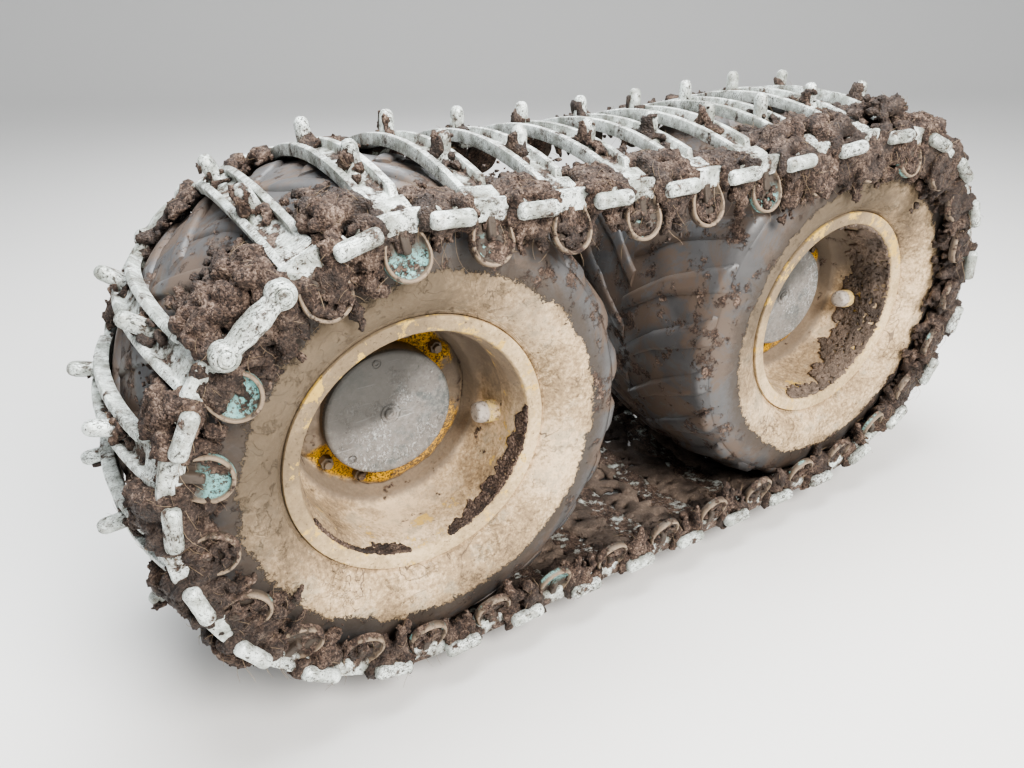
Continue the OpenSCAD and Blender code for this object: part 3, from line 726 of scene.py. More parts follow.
# %% The mesh that a tree grows, its size, and what every piece is told
def grown(name, group, base=None, **values):
    """The mesh that a Geometry Nodes tree makes of a base mesh, as a plain object."""
    source = added(name + "_base", base or bpy.data.meshes.new(name + "_base"))
    modifier = source.modifiers.new(name, "NODES")
    modifier.node_group = group.group
    for item in group.group.interface.items_tree:
        if item.in_out == "INPUT" and item.name in values:
            modifier[item.identifier] = values[item.name]
    shape = source.evaluated_get(bpy.context.evaluated_depsgraph_get())
    mesh = bpy.data.meshes.new_from_object(shape)
    bpy.data.objects.remove(source)
    return added(name, mesh)


def triangles(piece):
    return sum(len(face.vertices) - 2 for face in piece.data.polygons)


def dress(piece, body, finish=None, node=None):
    """Gives a piece its finish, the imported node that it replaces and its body."""
    if finish:
        piece.data.materials.append(finish)
    if node:
        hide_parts(node)
    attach(piece, body)
    print(piece.name, triangles(piece))


# %% The line of the link pins, as a closed curve
LINE_POINTS = 2400
curve = bpy.data.curves.new("track_line", "CURVE")
curve.dimensions = "3D"
line = curve.splines.new("POLY")
line.points.add(LINE_POINTS - 1)
for i, point in enumerate(line.points):
    x, z = path(i * loop_len / LINE_POINTS)
    point.co = (x, TYRE_Y, z + AXLE_Z, 1)
line.use_cyclic_u = True
track_line = added("track_line", curve)

# %% The tree that lays a shape along that line
along = Group(
    "along_track",
    ("Shape", "Object"),
    ("Line", "Object"),
    ("Count", "Int"),
    ("First", "Float"),
    ("Step", "Float"),
    ("Span", "Float"),
    ("Wear", "Float"),
    ("Grain", "Float"),
    ("Seed", "Float"),
    ("Finish", "Material"),
)
given = along.given
rail = along.add("GeometryNodeObjectInfo", None, {0: given["Line"]}, output=4)
rail_length = along.add("GeometryNodeCurveLength", None, {0: rail})
middle = given["First"] + given["Step"] * along.add("GeometryNodeInputIndex")


# %% Each copy hangs on two places of the line, a shoe's length apart
def pin_place(offset):
    """The line's place at an offset from each copy's middle."""
    at = (middle + offset).math("FLOORED_MODULO", middle + offset, rail_length)
    sockets = {0: rail, 3: at}
    return along.add("GeometryNodeSampleCurve", {"mode": "LENGTH"}, sockets, output=1)


pin_p = pin_place(given["Span"] * -0.5)
pin_q = pin_place(given["Span"] * 0.5)
half_way = along.scaled(along.vector("ADD", pin_p, pin_q), 0.5)
facing = {0: along.vector("SUBTRACT", pin_p, pin_q), 1: (0.0, 1.0, 0.0)}
main_axes = {"primary_axis": "X", "secondary_axis": "Y"}
turn = along.add("FunctionNodeAxesToRotation", main_axes, facing)
places = along.add("GeometryNodePoints", None, {0: given["Count"], 1: half_way})
shape = along.add("GeometryNodeObjectInfo", None, {0: given["Shape"]}, output=4)
copies = along.add("GeometryNodeInstanceOnPoints", None, {0: places, 2: shape, 5: turn})
solid = along.add("GeometryNodeRealizeInstances", None, {0: copies})
worn = along.worn(solid, given["Wear"], given["Grain"], given["Seed"])
along.end(worn, given["Finish"])


# %% A shape on every shoe, and numbers painted on a mesh
def on_every_shoe(name, shape, finish, wear, grain, **other):
    """Copies of a shape on every shoe of the track, worn, as one object."""
    values = {"Count": SHOE_COUNT, "First": FIRST_SHOE, "Step": PITCH, "Span": SHOE_PINS}
    values.update({"Shape": shape, "Line": track_line, "Finish": finish, "Seed": 1.0})
    values.update({"Wear": wear, "Grain": grain}, **other)
    piece = grown(name, along, **values)
    bpy.data.objects.remove(shape)
    return piece


def paint(piece, name, value):
    """Stores a number at every point of a mesh, worked out from the point's place."""
    layer = piece.data.attributes.new(name, "FLOAT", "POINT")
    layer.data.foreach_set("value", [value(v.co) for v in piece.data.vertices])


# %% [markdown]
# ### The shoe's channel
# A shoe is one casting: a curved floor between two ribs that run out before its ends, and a
# raised pad at each end. A bevelled box couldn't follow ribs that run out. The casting is a row
# of sections across the track with a skin over them, and each section knows where it is.

# %% The shoe's channel: a curved floor between two ribs, with a pad at each end
SHOE_HALF = 0.046
FLOOR = 0.012
RIB_T = 0.020
RIB_TOP = 0.034
PAD_TOP = 0.029
LONG_RIB, SHORT_RIB = 0.376, 0.292
PAD_FROM, PAD_TO = 0.316, 0.360
ARCH_R = CROWN_R + RUN_GAP
SHOE_RISE = TYRE_R + RUN_GAP - math.sqrt(LINK_R**2 - (SHOE_PINS / 2) ** 2)


def on_arch(x, v, height):
    """A point of a shoe at a distance v across, at a height over its inner side."""
    a = math.asin(v / ARCH_R)
    return (x, v, SHOE_RISE - ARCH_R + (ARCH_R + height) * math.cos(a))


def ease(value, low, high):
    t = min(max((value - low) / (high - low), 0.0), 1.0)
    return t * t * (3 - 2 * t)


def channel_section(v):
    """The channel's outline (x, height) at a distance v across."""
    v = abs(v)
    left = RIB_TOP - 0.004 * ease(v, LONG_RIB - 0.014, LONG_RIB)
    right = FLOOR + (RIB_TOP - FLOOR) * (1 - ease(v, SHORT_RIB - 0.008, SHORT_RIB + 0.003))
    rise = ease(v, PAD_FROM - 0.004, PAD_FROM + 0.004)
    fall = 1 - ease(v, PAD_TO - 0.004, PAD_TO + 0.004)
    low = FLOOR + (PAD_TOP - FLOOR) * (rise * fall)
    right = max(right, low)
    inner = SHOE_HALF - RIB_T
    return rounded(
        [
            (-SHOE_HALF, 0, 0.004),
            (SHOE_HALF, 0, 0.004),
            (SHOE_HALF, right, 0.006),
            (inner + 0.001, right, 0.004),
            (inner - 0.001, low, 0.003),
            (0, low - 0.001, 0),
            (-inner + 0.001, low, 0.003),
            (-inner - 0.001, left, 0.005),
            (-SHOE_HALF, left, 0.006),
        ],
        2,
    )


# %% One channel, its hollow marked for the finish, on every shoe
stations = [LONG_RIB, 0.372, 0.364, 0.360, 0.356, 0.340, 0.320, 0.316, 0.312, 0.304, 0.296]
stations += [0.292, 0.288, 0.284, 0.270, 0.240, 0.205, 0.170, 0.135, 0.100, 0.065, 0.030]
stations = [-v for v in stations] + [0] + stations[::-1]
channel = made(
    "channel",
    [skin([[on_arch(x, v, h) for x, h in channel_section(v)] for v in stations])],
)


def in_channel(p):
    height = math.hypot(p.y, p.z - SHOE_RISE + ARCH_R) - ARCH_R
    return (1 - ease(height, 0.012, 0.028)) * (1 - ease(abs(p.x), 0.024, 0.032))


paint(channel, "recess", in_channel)
channels = on_every_shoe("shoe_channels", channel, STEEL, wear=0.0011, grain=60.0)
print("one channel's stations:", len(stations))

# %% [markdown]
# ### Side bars
# A bar across each end of a shoe joins its two pins. It is straight in the middle and round at
# the eyes. It too is a row of sections, laid along the track this time, with its height worked
# out from the circle of the eye.

# %% The side bars: a pad's edge, a groove and an eye at each end that hooks down
BAR_FROM, BAR_TO = 0.367, 0.400
EYE_R = 0.026
HIP = SHOE_PINS / 2


def bar_heights(x):
    """Lowest and highest place of the side bar at a place along the shoe."""
    x = abs(x)
    back = 0.029 - 0.005 * ease(x, HIP * 0.45, HIP)
    if x <= HIP:
        return -0.024, max(back, EYE_R - 0.002 if x > HIP - 0.012 else back)
    drop = math.sqrt(max(EYE_R**2 - (x - HIP) ** 2, 0.0))
    return -drop, drop


def bar_section(x, side):
    low, high = bar_heights(x)
    tall = high - low
    dip = min(0.009, tall * 0.3)
    corners = [
        (BAR_FROM, low, 0.004),
        (BAR_TO, low, 0.009),
        (BAR_TO, high, 0.012),
        (0.3800, high, 0.007),
        (0.3775, high - dip, 0),
        (0.3740, high - dip * 0.45, 0.001),
        (0.3715, high - dip, 0),
        (BAR_FROM, high - dip * 0.4, 0.002),
    ]
    return [(x, side * y, z) for y, z in rounded(corners, 2)]


reach = [0.0, 0.3, 0.5, 0.68, 0.82, 0.93, 1.0]
places_x = [HIP * t for t in reach] + [HIP + EYE_R * t for t in (0.25, 0.5, 0.72, 0.88, 0.97, 1.0)]
places_x[-1] -= 0.0004
places_x = [-x for x in places_x[:0:-1]] + places_x
side_bars = made(
    "side_bar",
    [skin([bar_section(x, side) for x in places_x]) for side in (-1, 1)],
)
paint(side_bars, "recess", lambda p: 0.3 * (1 - ease(p.z, -0.02, 0.02)))
bars = on_every_shoe("shoe_bars", side_bars, STEEL, wear=0.0010, grain=70.0, Seed=2.0)
print("a side bar's stations:", len(places_x))

# %% [markdown]
# ### Paddles
# Spoon-shaped paddles hang from both ends of every shoe and hold the track on the tyres. Their
# rings shrink towards the middle of the dish, as in a bowl that is drawn from above. Extruding
# and insetting a face does the same by hand, but here each ring has a height by name.

# %% The paddles: spoons with a raised rim, a stem in the neck and a dished floor
PADDLE_END = 0.056
PADDLE_AT = 0.062
PADDLE_T = 0.009
PADDLE_RIM = 0.015
PADDLE_LEAN = math.radians(17.5)
PADDLE_Y = BAR_FROM + 0.0165
PADDLE_DROP = 0.008
NECK = 0.039
PADDLE_ROOT = Matrix.Translation((0, -PADDLE_Y, -PADDLE_DROP))
LEAN_BACK = Matrix.Rotation(-math.pi / 2 - PADDLE_LEAN, 4, "X")


def on_paddle(shoe, side):
    """Matrix from a paddle's own axes, x across it and y along it, to its place on a shoe."""
    return shoe @ Matrix.Scale(-side, 4, (0, 1, 0)) @ PADDLE_ROOT @ LEAN_BACK


def paddle_outline(inset):
    """Half of a paddle's outline, from its root round to its tip, drawn in by an inset."""
    r = PADDLE_END - inset
    widening = ((0.0, 0.0), (0.003, 0.012), (0.008, 0.024), (0.0125, 0.036))
    points = [(NECK - inset + wider, at) for wider, at in widening]
    for k in range(9):
        a = math.radians(-14 + 104 * k / 8)
        points.append((r * math.cos(a), PADDLE_AT + r * math.sin(a)))
    return points


def paddle_ring(inset, height):
    """A whole ring of the paddle: its outline with the mirror image, at a height."""
    half = paddle_outline(inset)
    ring = half + [(-x, y) for x, y in reversed(half[:-1])]
    return [(x, max(y, 0.0), height) for x, y in ring]


# %% A paddle's dish and stem, in place at the side of a shoe
def paddle_mesh(side):
    """One paddle in the shoe's axes. Its outer face carries the rim."""
    rims = [(0.004, PADDLE_T), (0.0, PADDLE_T - 0.003), (0.0, 0.0), (0.0, -PADDLE_RIM + 0.005)]
    rims += [(0.002, -PADDLE_RIM + 0.001), (0.0045, -PADDLE_RIM), (0.0075, -PADDLE_RIM + 0.001)]
    rims += [(0.009, -PADDLE_RIM + 0.005), (0.011, -0.004), (0.018, -0.001), (0.036, 0.0015)]
    rings = [paddle_ring(inset, height) for inset, height in rims]
    stem = rounded(
        [(-0.012, 0, 0.004), (0.012, 0, 0.004), (0.010, 0.058, 0.008), (-0.010, 0.058, 0.008)],
        3,
    )
    stem_rings = [[(x, max(y, 0.0), z) for x, y in stem] for z in (0.002, -0.011)]
    stem_rings.append([(x * 0.72, max(y * 0.93, 0.0), -PADDLE_RIM) for x, y in stem])
    place = on_paddle(Matrix.Identity(4), side)
    return [set_at(place, part) for part in (skin(rings), skin(stem_rings))]


paddle = made("paddle", [part for side in (-1, 1) for part in paddle_mesh(side)], sharp=50)


# %% The rim and the dish, marked for the finish
def paddle_place(p):
    """A point of a paddle in the paddle's own axes: along it, and above its outer face."""
    y, z = abs(p.y) - PADDLE_Y, p.z + PADDLE_DROP
    along_it = -z * math.cos(PADDLE_LEAN) + y * math.sin(PADDLE_LEAN)
    above = y * math.cos(PADDLE_LEAN) + z * math.sin(PADDLE_LEAN)
    return along_it, above


def paddle_rim_share(p):
    along_it, above = paddle_place(p)
    edge = math.hypot(p.x, max(along_it - PADDLE_AT, 0)) if along_it > 0.03 else abs(p.x) + 0.012
    return ease(above, 0.006, 0.012) * ease(edge, PADDLE_END - 0.014, PADDLE_END - 0.009)


def paddle_dish_share(p):
    along_it, above = paddle_place(p)
    return ease(along_it, 0.045, 0.070) * (1 - ease(above, 0.004, 0.009)) * (above > -0.004)


paint(paddle, "rim", paddle_rim_share)
paint(paddle, "dish", paddle_dish_share)
paddles = on_every_shoe("shoe_paddles", paddle, PADDLE, wear=0.004, grain=40.0, Seed=3.0)
print("both paddles of", SHOE_COUNT, "shoes:", len(paddles.data.polygons), "faces")

# %% [markdown]
# ### Studs and links
# Studs, links and pins are round bars with rounded ends. A curve with a bevel gives round bars
# with flat ends, so one helper turns a profile around any axis instead. The long coupling link
# is where the track is closed, and there is one of it on each side.

# %% A profile turned around any axis
def lathe(profile, count, axis=(0, 0, 1), centre=(0, 0, 0)):
    """A closed skin turned around an axis. The profile is (radius, place along the axis)."""
    axis = Vector(axis)
    one = axis.orthogonal().normalized()
    two = axis.cross(one)
    turns = [2 * math.pi * k / count for k in range(count)]
    rings = [
        [Vector(centre) + axis * h + r * (one * math.cos(a) + two * math.sin(a)) for a in turns]
        for r, h in profile
    ]
    return skin(rings)


# %% Two studs on each shoe
STUD_Y, STUD_R, STUD_TOP = 0.163, 0.020, 0.137
stud_base = on_arch(0, STUD_Y, FLOOR)[2]
stud_profile = [
    (0.032, stud_base - 0.006),
    (0.028, stud_base + 0.002),
    (0.023, stud_base + 0.010),
    (STUD_R, stud_base + 0.022),
    (STUD_R, STUD_TOP - 0.022),
    (STUD_R - 0.0015, STUD_TOP - 0.012),
    (STUD_R - 0.006, STUD_TOP - 0.004),
    (STUD_R - 0.012, STUD_TOP),
]
studs = made(
    "stud",
    [lathe(stud_profile, 14, centre=(0, side * STUD_Y, 0)) for side in (-1, 1)],
)
stud_set = on_every_shoe("shoe_studs", studs, STEEL, wear=0.0030, grain=35.0, Seed=4.0)

# %% Side links between the shoes: a bar with a leg at each end
LINK_BAR_R, LEG_R = 0.020, 0.015
LINK_Y = 0.422
link_end = LINK_PINS / 2 + LINK_BAR_R
bar_profile = [
    (0.006, -link_end),
    (0.013, -link_end + 0.0015),
    (0.018, -link_end + 0.006),
    (LINK_BAR_R, -link_end + 0.014),
    (LINK_BAR_R * 0.96, -0.015),
]
bar_profile += [(r, -h) for r, h in reversed(bar_profile)]
leg_long = LINK_Y - BAR_FROM
leg_profile = [(LEG_R, 0), (LEG_R, leg_long - 0.001), (LEG_R - 0.003, leg_long + 0.002)]


def link_parts(side):
    bar = lathe(bar_profile, 16, (1, 0, 0), (0, side * LINK_Y, 0))
    legs = [
        lathe(leg_profile, 12, (0, -side, 0), (end * LINK_PINS / 2, side * LINK_Y, 0))
        for end in (-1, 1)
    ]
    return [bar, *legs]


LINKS = {"Count": SHOE_COUNT - 1, "First": FIRST_SHOE + PITCH / 2, "Span": LINK_PINS}
links = {}
for side, name in ((-1, "outer"), (1, "inner")):
    shape = made("link_" + name, link_parts(side))
    links[name] = on_every_shoe(
        "side_links_" + name, shape, LINK_STEEL, 0.0011, 60.0, **LINKS, Seed=5.0 + side
    )

# %% The coupling link: a bone with two eyes and a ringed pin head in each
COUPLING_HALF = COUPLING_PINS / 2
EYE, MIDDLE, NECK_R, HEAD_R = 0.031, 0.027, 0.022, 0.018


def coupling_parts(side):
    """The long link's waist, then an eye and a pin at each end."""
    neck = COUPLING_HALF - EYE
    waist = [(NECK_R, -COUPLING_HALF), (NECK_R, -neck * 0.95), (NECK_R + 0.0015, -neck * 0.8)]
    waist += [(MIDDLE - 0.0015, -neck * 0.58), (MIDDLE, -neck * 0.42), (MIDDLE, 0)]
    waist += [(r, -h) for r, h in reversed(waist[:-1])]
    parts = [lathe(waist, 18, (1, 0, 0), (0, side * LINK_Y, 0))]
    eye = [(EYE - 0.008, -0.020), (EYE - 0.002, -0.017), (EYE, -0.011), (EYE, 0.009)]
    eye += [(EYE - 0.003, 0.016), (EYE - 0.009, 0.020), (HEAD_R + 0.0015, 0.0205)]
    eye += [(HEAD_R + 0.0005, 0.0180), (HEAD_R - 0.001, 0.0180), (HEAD_R - 0.0015, 0.0235)]
    eye += [(HEAD_R - 0.004, 0.025), (0.0115, 0.025), (0.0108, 0.0236), (0.0095, 0.0236)]
    eye += [(0.0088, 0.0250), (0.003, 0.0252)]
    pin = [(LEG_R, 0.0), (LEG_R, LINK_Y - BAR_FROM + 0.002)]
    for end in (-1, 1):
        centre = (end * COUPLING_HALF, side * LINK_Y, 0)
        parts.append(lathe(eye, 28, (0, side, 0), centre))
        parts.append(lathe(pin, 12, (0, -side, 0), centre))
    return parts


shape = made("coupling", coupling_parts(-1) + coupling_parts(1))
coupling = on_every_shoe(
    "coupling_bones",
    shape,
    LINK_STEEL,
    0.002,
    30.0,
    Count=1,
    First=COUPLING_S,
    Span=COUPLING_PINS,
    Seed=7.0,
)

# %% The whole track rides on the bogie
BARE_PADDLES = (0, 1, 8, 15, 22, 25, 30)


def is_bare(p):
    """1 on an outer paddle whose mud has fallen off, from the number of the nearest shoe."""
    gaps = [math.hypot(p.x - m.translation.x, p.z - m.translation.z) for m in SHOES]
    return 1.0 if p.y < TYRE_Y and gaps.index(min(gaps)) in BARE_PADDLES else 0.0


paint(paddles, "bare", is_bare)
for piece in (channels, bars, paddles, stud_set):
    dress(piece, "bogie", node="track_shoes")
for name, piece in links.items():
    dress(piece, "bogie", node="track_links_" + name)
dress(coupling, "bogie", node="coupling_links")

# %% [markdown]
# ## Wheels
# A wheel is a stack of turned outlines: tyre, rim, disc, hub cover. Each follows the packed
# piece's own section and adds what a casting or a moulding has: rounded edges and rings.


# %% The tyre's body: its section, from the outer bead over the tread to the inner bead
LUG_COUNT, LUG_H = 22, 0.024
TYRE_STEPS, FILL_STEPS, PLATE_STEPS, COVER_STEPS, DITCH_STEPS = 144, 200, 128, 96, 180
SIDE_MID, SIDE_R, SIDE_OUT = 0.490, 0.235, 0.125


def crown(out):
    """Radius of the lug tips at a place across the tyre."""
    return TYRE_R - CROWN_R + math.sqrt(CROWN_R**2 - out**2)


def side_wall(radius):
    """Outward place of the side wall at a radius."""
    return SIDE_OUT + math.sqrt(max(SIDE_R**2 - (radius - SIDE_MID) ** 2, 0.0))


def tyre_outline():
    """The tyre's section as (radius, outward place), closed through its air space."""
    half_bead = RIM_HALF - 0.0143
    outer = [(0.3385, half_bead), (0.352, half_bead + 0.001), (0.360, half_bead + 0.001)]
    ridges = [(0.3640, 0.3150), (0.3652, 0.3142), (0.3668, 0.3168), (0.3682, 0.3160)]
    ridges += [(0.3700, 0.3188), (0.3716, 0.3181), (0.3770, 0.3240), (0.3900, 0.3325)]
    side = [(r, side_wall(r)) for r in (0.405, 0.425, 0.445, 0.470, 0.500, 0.525, 0.550, 0.572)]
    shoulder = [(0.580, side_wall(0.580)), (0.586, side_wall(0.586) - 0.002), (0.591, 0.325)]
    tread = [(crown(out) - LUG_H, out) for out in (0.305, 0.27, 0.23, 0.18, 0.13, 0.08, 0.04, 0)]
    half = outer + ridges + side + shoulder + tread
    inside = [(0.60, 0.0), (0.585, 0.18), (0.56, 0.27), (0.49, 0.325), (0.40, 0.29), (0.3385, 0.25)]
    ring = half + [(r, -out) for r, out in reversed(half[:-1])]
    ring += [(r, -out) for r, out in reversed(inside)] + inside[1:]
    return ring


# %% [markdown]
# ### Lugs
# Lugs stand on the tread as chevrons and run down over the shoulder. An array of one lug could
# repeat them, but they bend with the crown of the tyre. Each is skinned over its own row of
# sections, whose tops and roots lie on the tyre's own curves.

# %% The lugs: worn chevrons that run over the shoulder
LUG_LINE = [(-0.012, 0.110, 0.052), (0.140, 0.0, 0.062), (0.345, -0.093, 0.086)]


def lug_place(out):
    """Where a lug's middle lies around the tyre at a place across it, and its width there."""
    (a, at_a, wide_a), (b, at_b, wide_b), (c, at_c, wide_c) = LUG_LINE
    if out < b:
        t = (out - a) / (b - a)
        return at_a + (at_b - at_a) * t, wide_a + (wide_b - wide_a) * t
    t = (out - b) / (c - b)
    return at_b + (at_c - at_b) * t, wide_b + (wide_c - wide_b) * t


def lug_stations():
    """(radius, place across) of the lug's top and of its root, from the nose down to its end."""
    places = [-0.012, -0.006, 0.02, 0.06, 0.10, 0.125, 0.14, 0.155, 0.18, 0.22, 0.26, 0.29, 0.31]
    rows = [((crown(u) - 0.004 * (u < 0), u), (crown(u) - LUG_H - 0.006, u)) for u in places]
    rows.append(((0.6165, 0.3225), (0.586, 0.314)))
    rows.append(((0.6105, 0.3290), (0.584, 0.322)))
    rows += [((r, side_wall(r) + 0.003), (r - 0.008, side_wall(r) - 0.010)) for r in (0.602, 0.594)]
    rows.append(((0.587, side_wall(0.587) + 0.0015), (0.582, side_wall(0.582) - 0.010)))
    return rows


def lug_part(side, end, start):
    """One lug of a tyre, towards the outside (1) or the inside (-1), at an angle."""
    across = [(-0.66, 0), (-0.57, 0.52), (-0.48, 0.82), (-0.36, 0.97), (-0.20, 1)]
    across += [(-t, h) for t, h in reversed(across)]
    rings = []
    for (r1, u1), (r0, u0) in lug_stations():
        middle, wide = lug_place(max(u0, u1))
        ring = []
        for t, h in across:
            r, u = r0 + (r1 - r0) * h, u0 + (u1 - u0) * h
            turn = start + math.asin((middle + t * wide) / r)
            ring.append(wheel_point(side, r, turn, end * u))
        rings.append(ring)
    return skin(rings)


for side, name in SIDES.items():
    parts = [turned(side, tyre_outline(), TYRE_STEPS)]
    for i in range(2 * LUG_COUNT):
        parts.append(lug_part(side, 1 - 2 * (i % 2), math.pi * i / LUG_COUNT))
    tyre = made("tyre_body_" + name, parts, sharp=35)
    dress(tyre, "wheel_" + name, RUBBER, "tyre_" + name)

# %% [markdown]
# ### Mud in the tread
# The track presses mud between the lugs, and only their tips stay out. A displaced tyre would
# swell its lugs too. A ring of its own, roughened by a Geometry Nodes tree at two sizes, fills
# the gaps, and it is then held inside the room that the tyre turns in.

# %% Mud trodden into the tread, which leaves only the tips of the lugs standing out
weather = Group(
    "weathered",
    ("Base", "Geometry"),
    ("Broad", "Float"),
    ("Fine", "Float"),
    ("Seed", "Float"),
    ("Finish", "Material"),
)
given = weather.given
broad = weather.worn(given["Base"], given["Broad"], 9.0, given["Seed"])
rough = weather.worn(broad, given["Fine"], 42.0, given["Seed"])
weather.end(rough, given["Finish"])


# %% The ring of mud on each tyre, held inside the tyre's room
TREAD_HALF, TREAD_FLAT, FILL_H, FILL_DROP = 0.345, 0.31, 0.012, 0.014


def tread_fill():
    """The section of the trodden mud, closed through the tyre's body."""
    top = []
    for k in range(41):
        out = TREAD_HALF - 2 * TREAD_HALF * k / 40
        drop = FILL_DROP * ease(abs(out), TREAD_FLAT, TREAD_HALF)
        top.append((crown(out) - LUG_H + FILL_H - drop, out))
    return top + [(crown(out) - LUG_H - FILL_H, out) for out in (-TREAD_FLAT, TREAD_FLAT)]


CROWN_TO, TIP_CLEAR = 0.36, 0.002


def hold_in(piece, side):
    """Keeps the tread's mud within the room that the lugs and the side walls turn in."""
    for vertex in piece.data.vertices:
        x, z = vertex.co.x - side * HALF_BASE, vertex.co.z - AXLE_Z
        out = vertex.co.y - TYRE_Y
        radius = math.hypot(x, z)
        out = math.copysign(min(abs(out), side_wall(radius)), out)
        shrink = min(1.0, (crown(min(abs(out), CROWN_TO)) - TIP_CLEAR) / radius)
        vertex.co = (side * HALF_BASE + x * shrink, TYRE_Y + out, AXLE_Z + z * shrink)


for side, name in SIDES.items():
    base = made("tread_base", [turned(side, tread_fill(), FILL_STEPS)], sharp=80)
    values = {"Broad": 0.022, "Fine": 0.006, "Seed": 3.0 + side, "Finish": RUBBER}
    fill = grown("tread_mud_" + name, weather, base.data, **values)
    bpy.data.objects.remove(base)
    hold_in(fill, side)
    dress(fill, "wheel_" + name)


# %% [markdown]
# ## Rims and discs
# A rim is rolled from thick plate: a flange that holds the tyre, a lip, a taper and a deep well.
# The disc closes it and carries the nuts. Either could be a curve with a bevel, but a turned
# outline holds the small radius of each fold, and those radii are what the light picks out.

# %% The rim: rolled flange, lip, inner taper and well
def on_both_wheels(name, parts_of, finish, node=None, sharp=50):
    """One piece on each wheel, from the function that draws its parts on a side."""
    for side, end in SIDES.items():
        piece = made(name + end, parts_of(side), sharp)
        dress(piece, "wheel_" + end, finish, node and node + end)


def rim_outline():
    """The rim's section: its inner side, then back along the bead seats."""
    half = [(0.3595, 0.005), (0.3580, 0.001), (0.3545, 0.0002), (0.3490, 0.0012)]
    half += [(0.3430, 0.0016), (0.3330, 0.0030), (0.3230, 0.0042), (0.3195, 0.0055)]
    half += [(0.3172, 0.0095), (0.3160, 0.0160), (0.3120, 0.0280), (0.3060, 0.0450)]
    half += [(0.3020, 0.0570), (0.3003, 0.0650), (0.3000, 0.0800)]
    seat = [(0.3595, 0.010), (0.3575, 0.0135), (0.3400, 0.0138), (0.3380, 0.0160)]
    seat += [(0.3380, 0.082), (0.3140, 0.122)]
    half, seat = ([(r, RIM_HALF - depth) for r, depth in row] for row in (half, seat))
    inner = half + [(r, -out) for r, out in reversed(half)]
    return inner + [(r, -out) for r, out in seat] + seat[::-1]


def rim_parts(side):
    return [turned(side, rim_outline(), PLATE_STEPS)]


on_both_wheels("rim_body_", rim_parts, RIM_PAINT, "rim_")

# %% The disc: a flat face deep in the wheel, a steep fold, and dried mud in the barrel's corner
DISC_OUT = 0.034
FOLD_H = 0.066


def disc_parts(side):
    """The disc's section: its face, its fold out to the rim, and its back."""
    face = [(0.1853, 0), (0.2490, 0), (0.2525, 0.0010), (0.2548, 0.0050)]
    fold = [(0.2670, -0.012), (0.2688, -0.004), (0.2712, 0.001), (0.2770, 0.006)]
    fold += [(0.2840, 0.014), (0.2900, 0.028), (0.2945, 0.048), (0.2978, 0.074)]
    fold += [(0.2999, 0.105), (0.2997, -0.012), (0.2860, -0.016)]
    back = [(0.2700, -0.0158), (0.1853, -0.0160)]
    outline = [(r, DISC_OUT + out) for r, out in face]
    outline += [(r, DISC_OUT + FOLD_H + out) for r, out in fold]
    outline += [(r, DISC_OUT + out) for r, out in back]
    return [turned(side, outline, PLATE_STEPS)]


on_both_wheels("disc_body_", disc_parts, DISC_PAINT, "disc_")

# %% Dried mud around the nuts: it buries them, except in two places where paint shows
NUT_OUT = TYRE_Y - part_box("wheel_nuts_rear")[0].y
DITCH_FLOOR = DISC_OUT - 0.010
NUTS_SHOW = math.radians(57), math.radians(-134)


def ditch_mud(side):
    rings = []
    for k in range(DITCH_STEPS):
        a = 2 * math.pi * k / DITCH_STEPS
        bare = max(math.cos(a - shown) for shown in NUTS_SHOW)
        low = 0.038 * ease(bare, 0.86, 0.97)
        wave = 0.0025 * math.sin(11 * a) + 0.0015 * math.sin(29 * a + side)
        rise = NUT_OUT + 0.0015 + wave - low
        section = [(0.1790, rise - 0.001), (0.2010, rise), (0.2260, rise), (0.2400, rise - 0.007)]
        section += [(0.2520, rise - 0.016), (0.2590, rise - 0.024), (0.2560, DITCH_FLOOR)]
        section += [(0.1790, DITCH_FLOOR)]
        floors = [DITCH_FLOOR - r * 0.001 for r, _ in section]
        rings.append([
            wheel_point(side, r, a, max(out, floor)) for (r, out), floor in zip(section, floors)
        ])
    return [skin(rings, loop=True)]


on_both_wheels("ditch_mud_", ditch_mud, DISC_PAINT, sharp=70)

# %% [markdown]
# ## Hub covers and valve guards
# A thick round cover closes the planetary gears in the hub. It has a plug in its middle, two
# bolts and a threaded hole. Bump could fake such small parts, but they break the round edge of
# the light at close range, so the hole and the bolts' seats are cut with booleans.

# %% A place on a wheel
def on_wheel(side, angle, radius, out):
    """Matrix from a piece's own axes to a place on a wheel: x points away from the axis, z out."""
    away = Vector((math.cos(angle), 0, math.sin(angle)))
    outward = Vector((0, -1, 0))
    turn = Matrix((away, outward.cross(away), outward)).transposed().to_4x4()
    centre = Vector((side * HALF_BASE, TYRE_Y, AXLE_Z))
    return Matrix.Translation(centre + away * radius + outward * out) @ turn


# %% The hub cover, cut for one open hole and two bolts
COVER_OUT = 0.114
COVER_T = 0.023
BOLT_R, SEAT_R = 0.162, 0.0135
HOLE_AT, BOLTS_AT = math.radians(-139), (math.radians(99), math.radians(-21))


def cover_outline():
    """The hub cover: its edge, its face, and the plug in a recessed ring."""
    face = [(0.1850, COVER_T), (0.1850, 0.0085), (0.1840, 0.0055), (0.1800, 0.0018)]
    face += [(0.1770, 0.0006), (0.1700, 0.0003), (0.0350, 0.0008), (0.0310, 0.0012)]
    face += [(0.0295, 0.0042), (0.0270, 0.0042), (0.0255, 0.0010), (0.0205, 0.0008)]
    face += [(0.0185, 0.0030), (0.0160, 0.0030)]
    plug = [(0.0150, 0.0030), (0.0125, 0.0006), (0.0080, 0.0004), (0.0068, 0.0028)]
    plug += [(0.0010, 0.0030)]
    top = TYRE_Y - hub_low.y
    outline = [(r, COVER_OUT - depth) for r, depth in face]
    outline += [(r, top - depth) for r, depth in plug]
    return [*outline, (0.0010, COVER_OUT - COVER_T)]


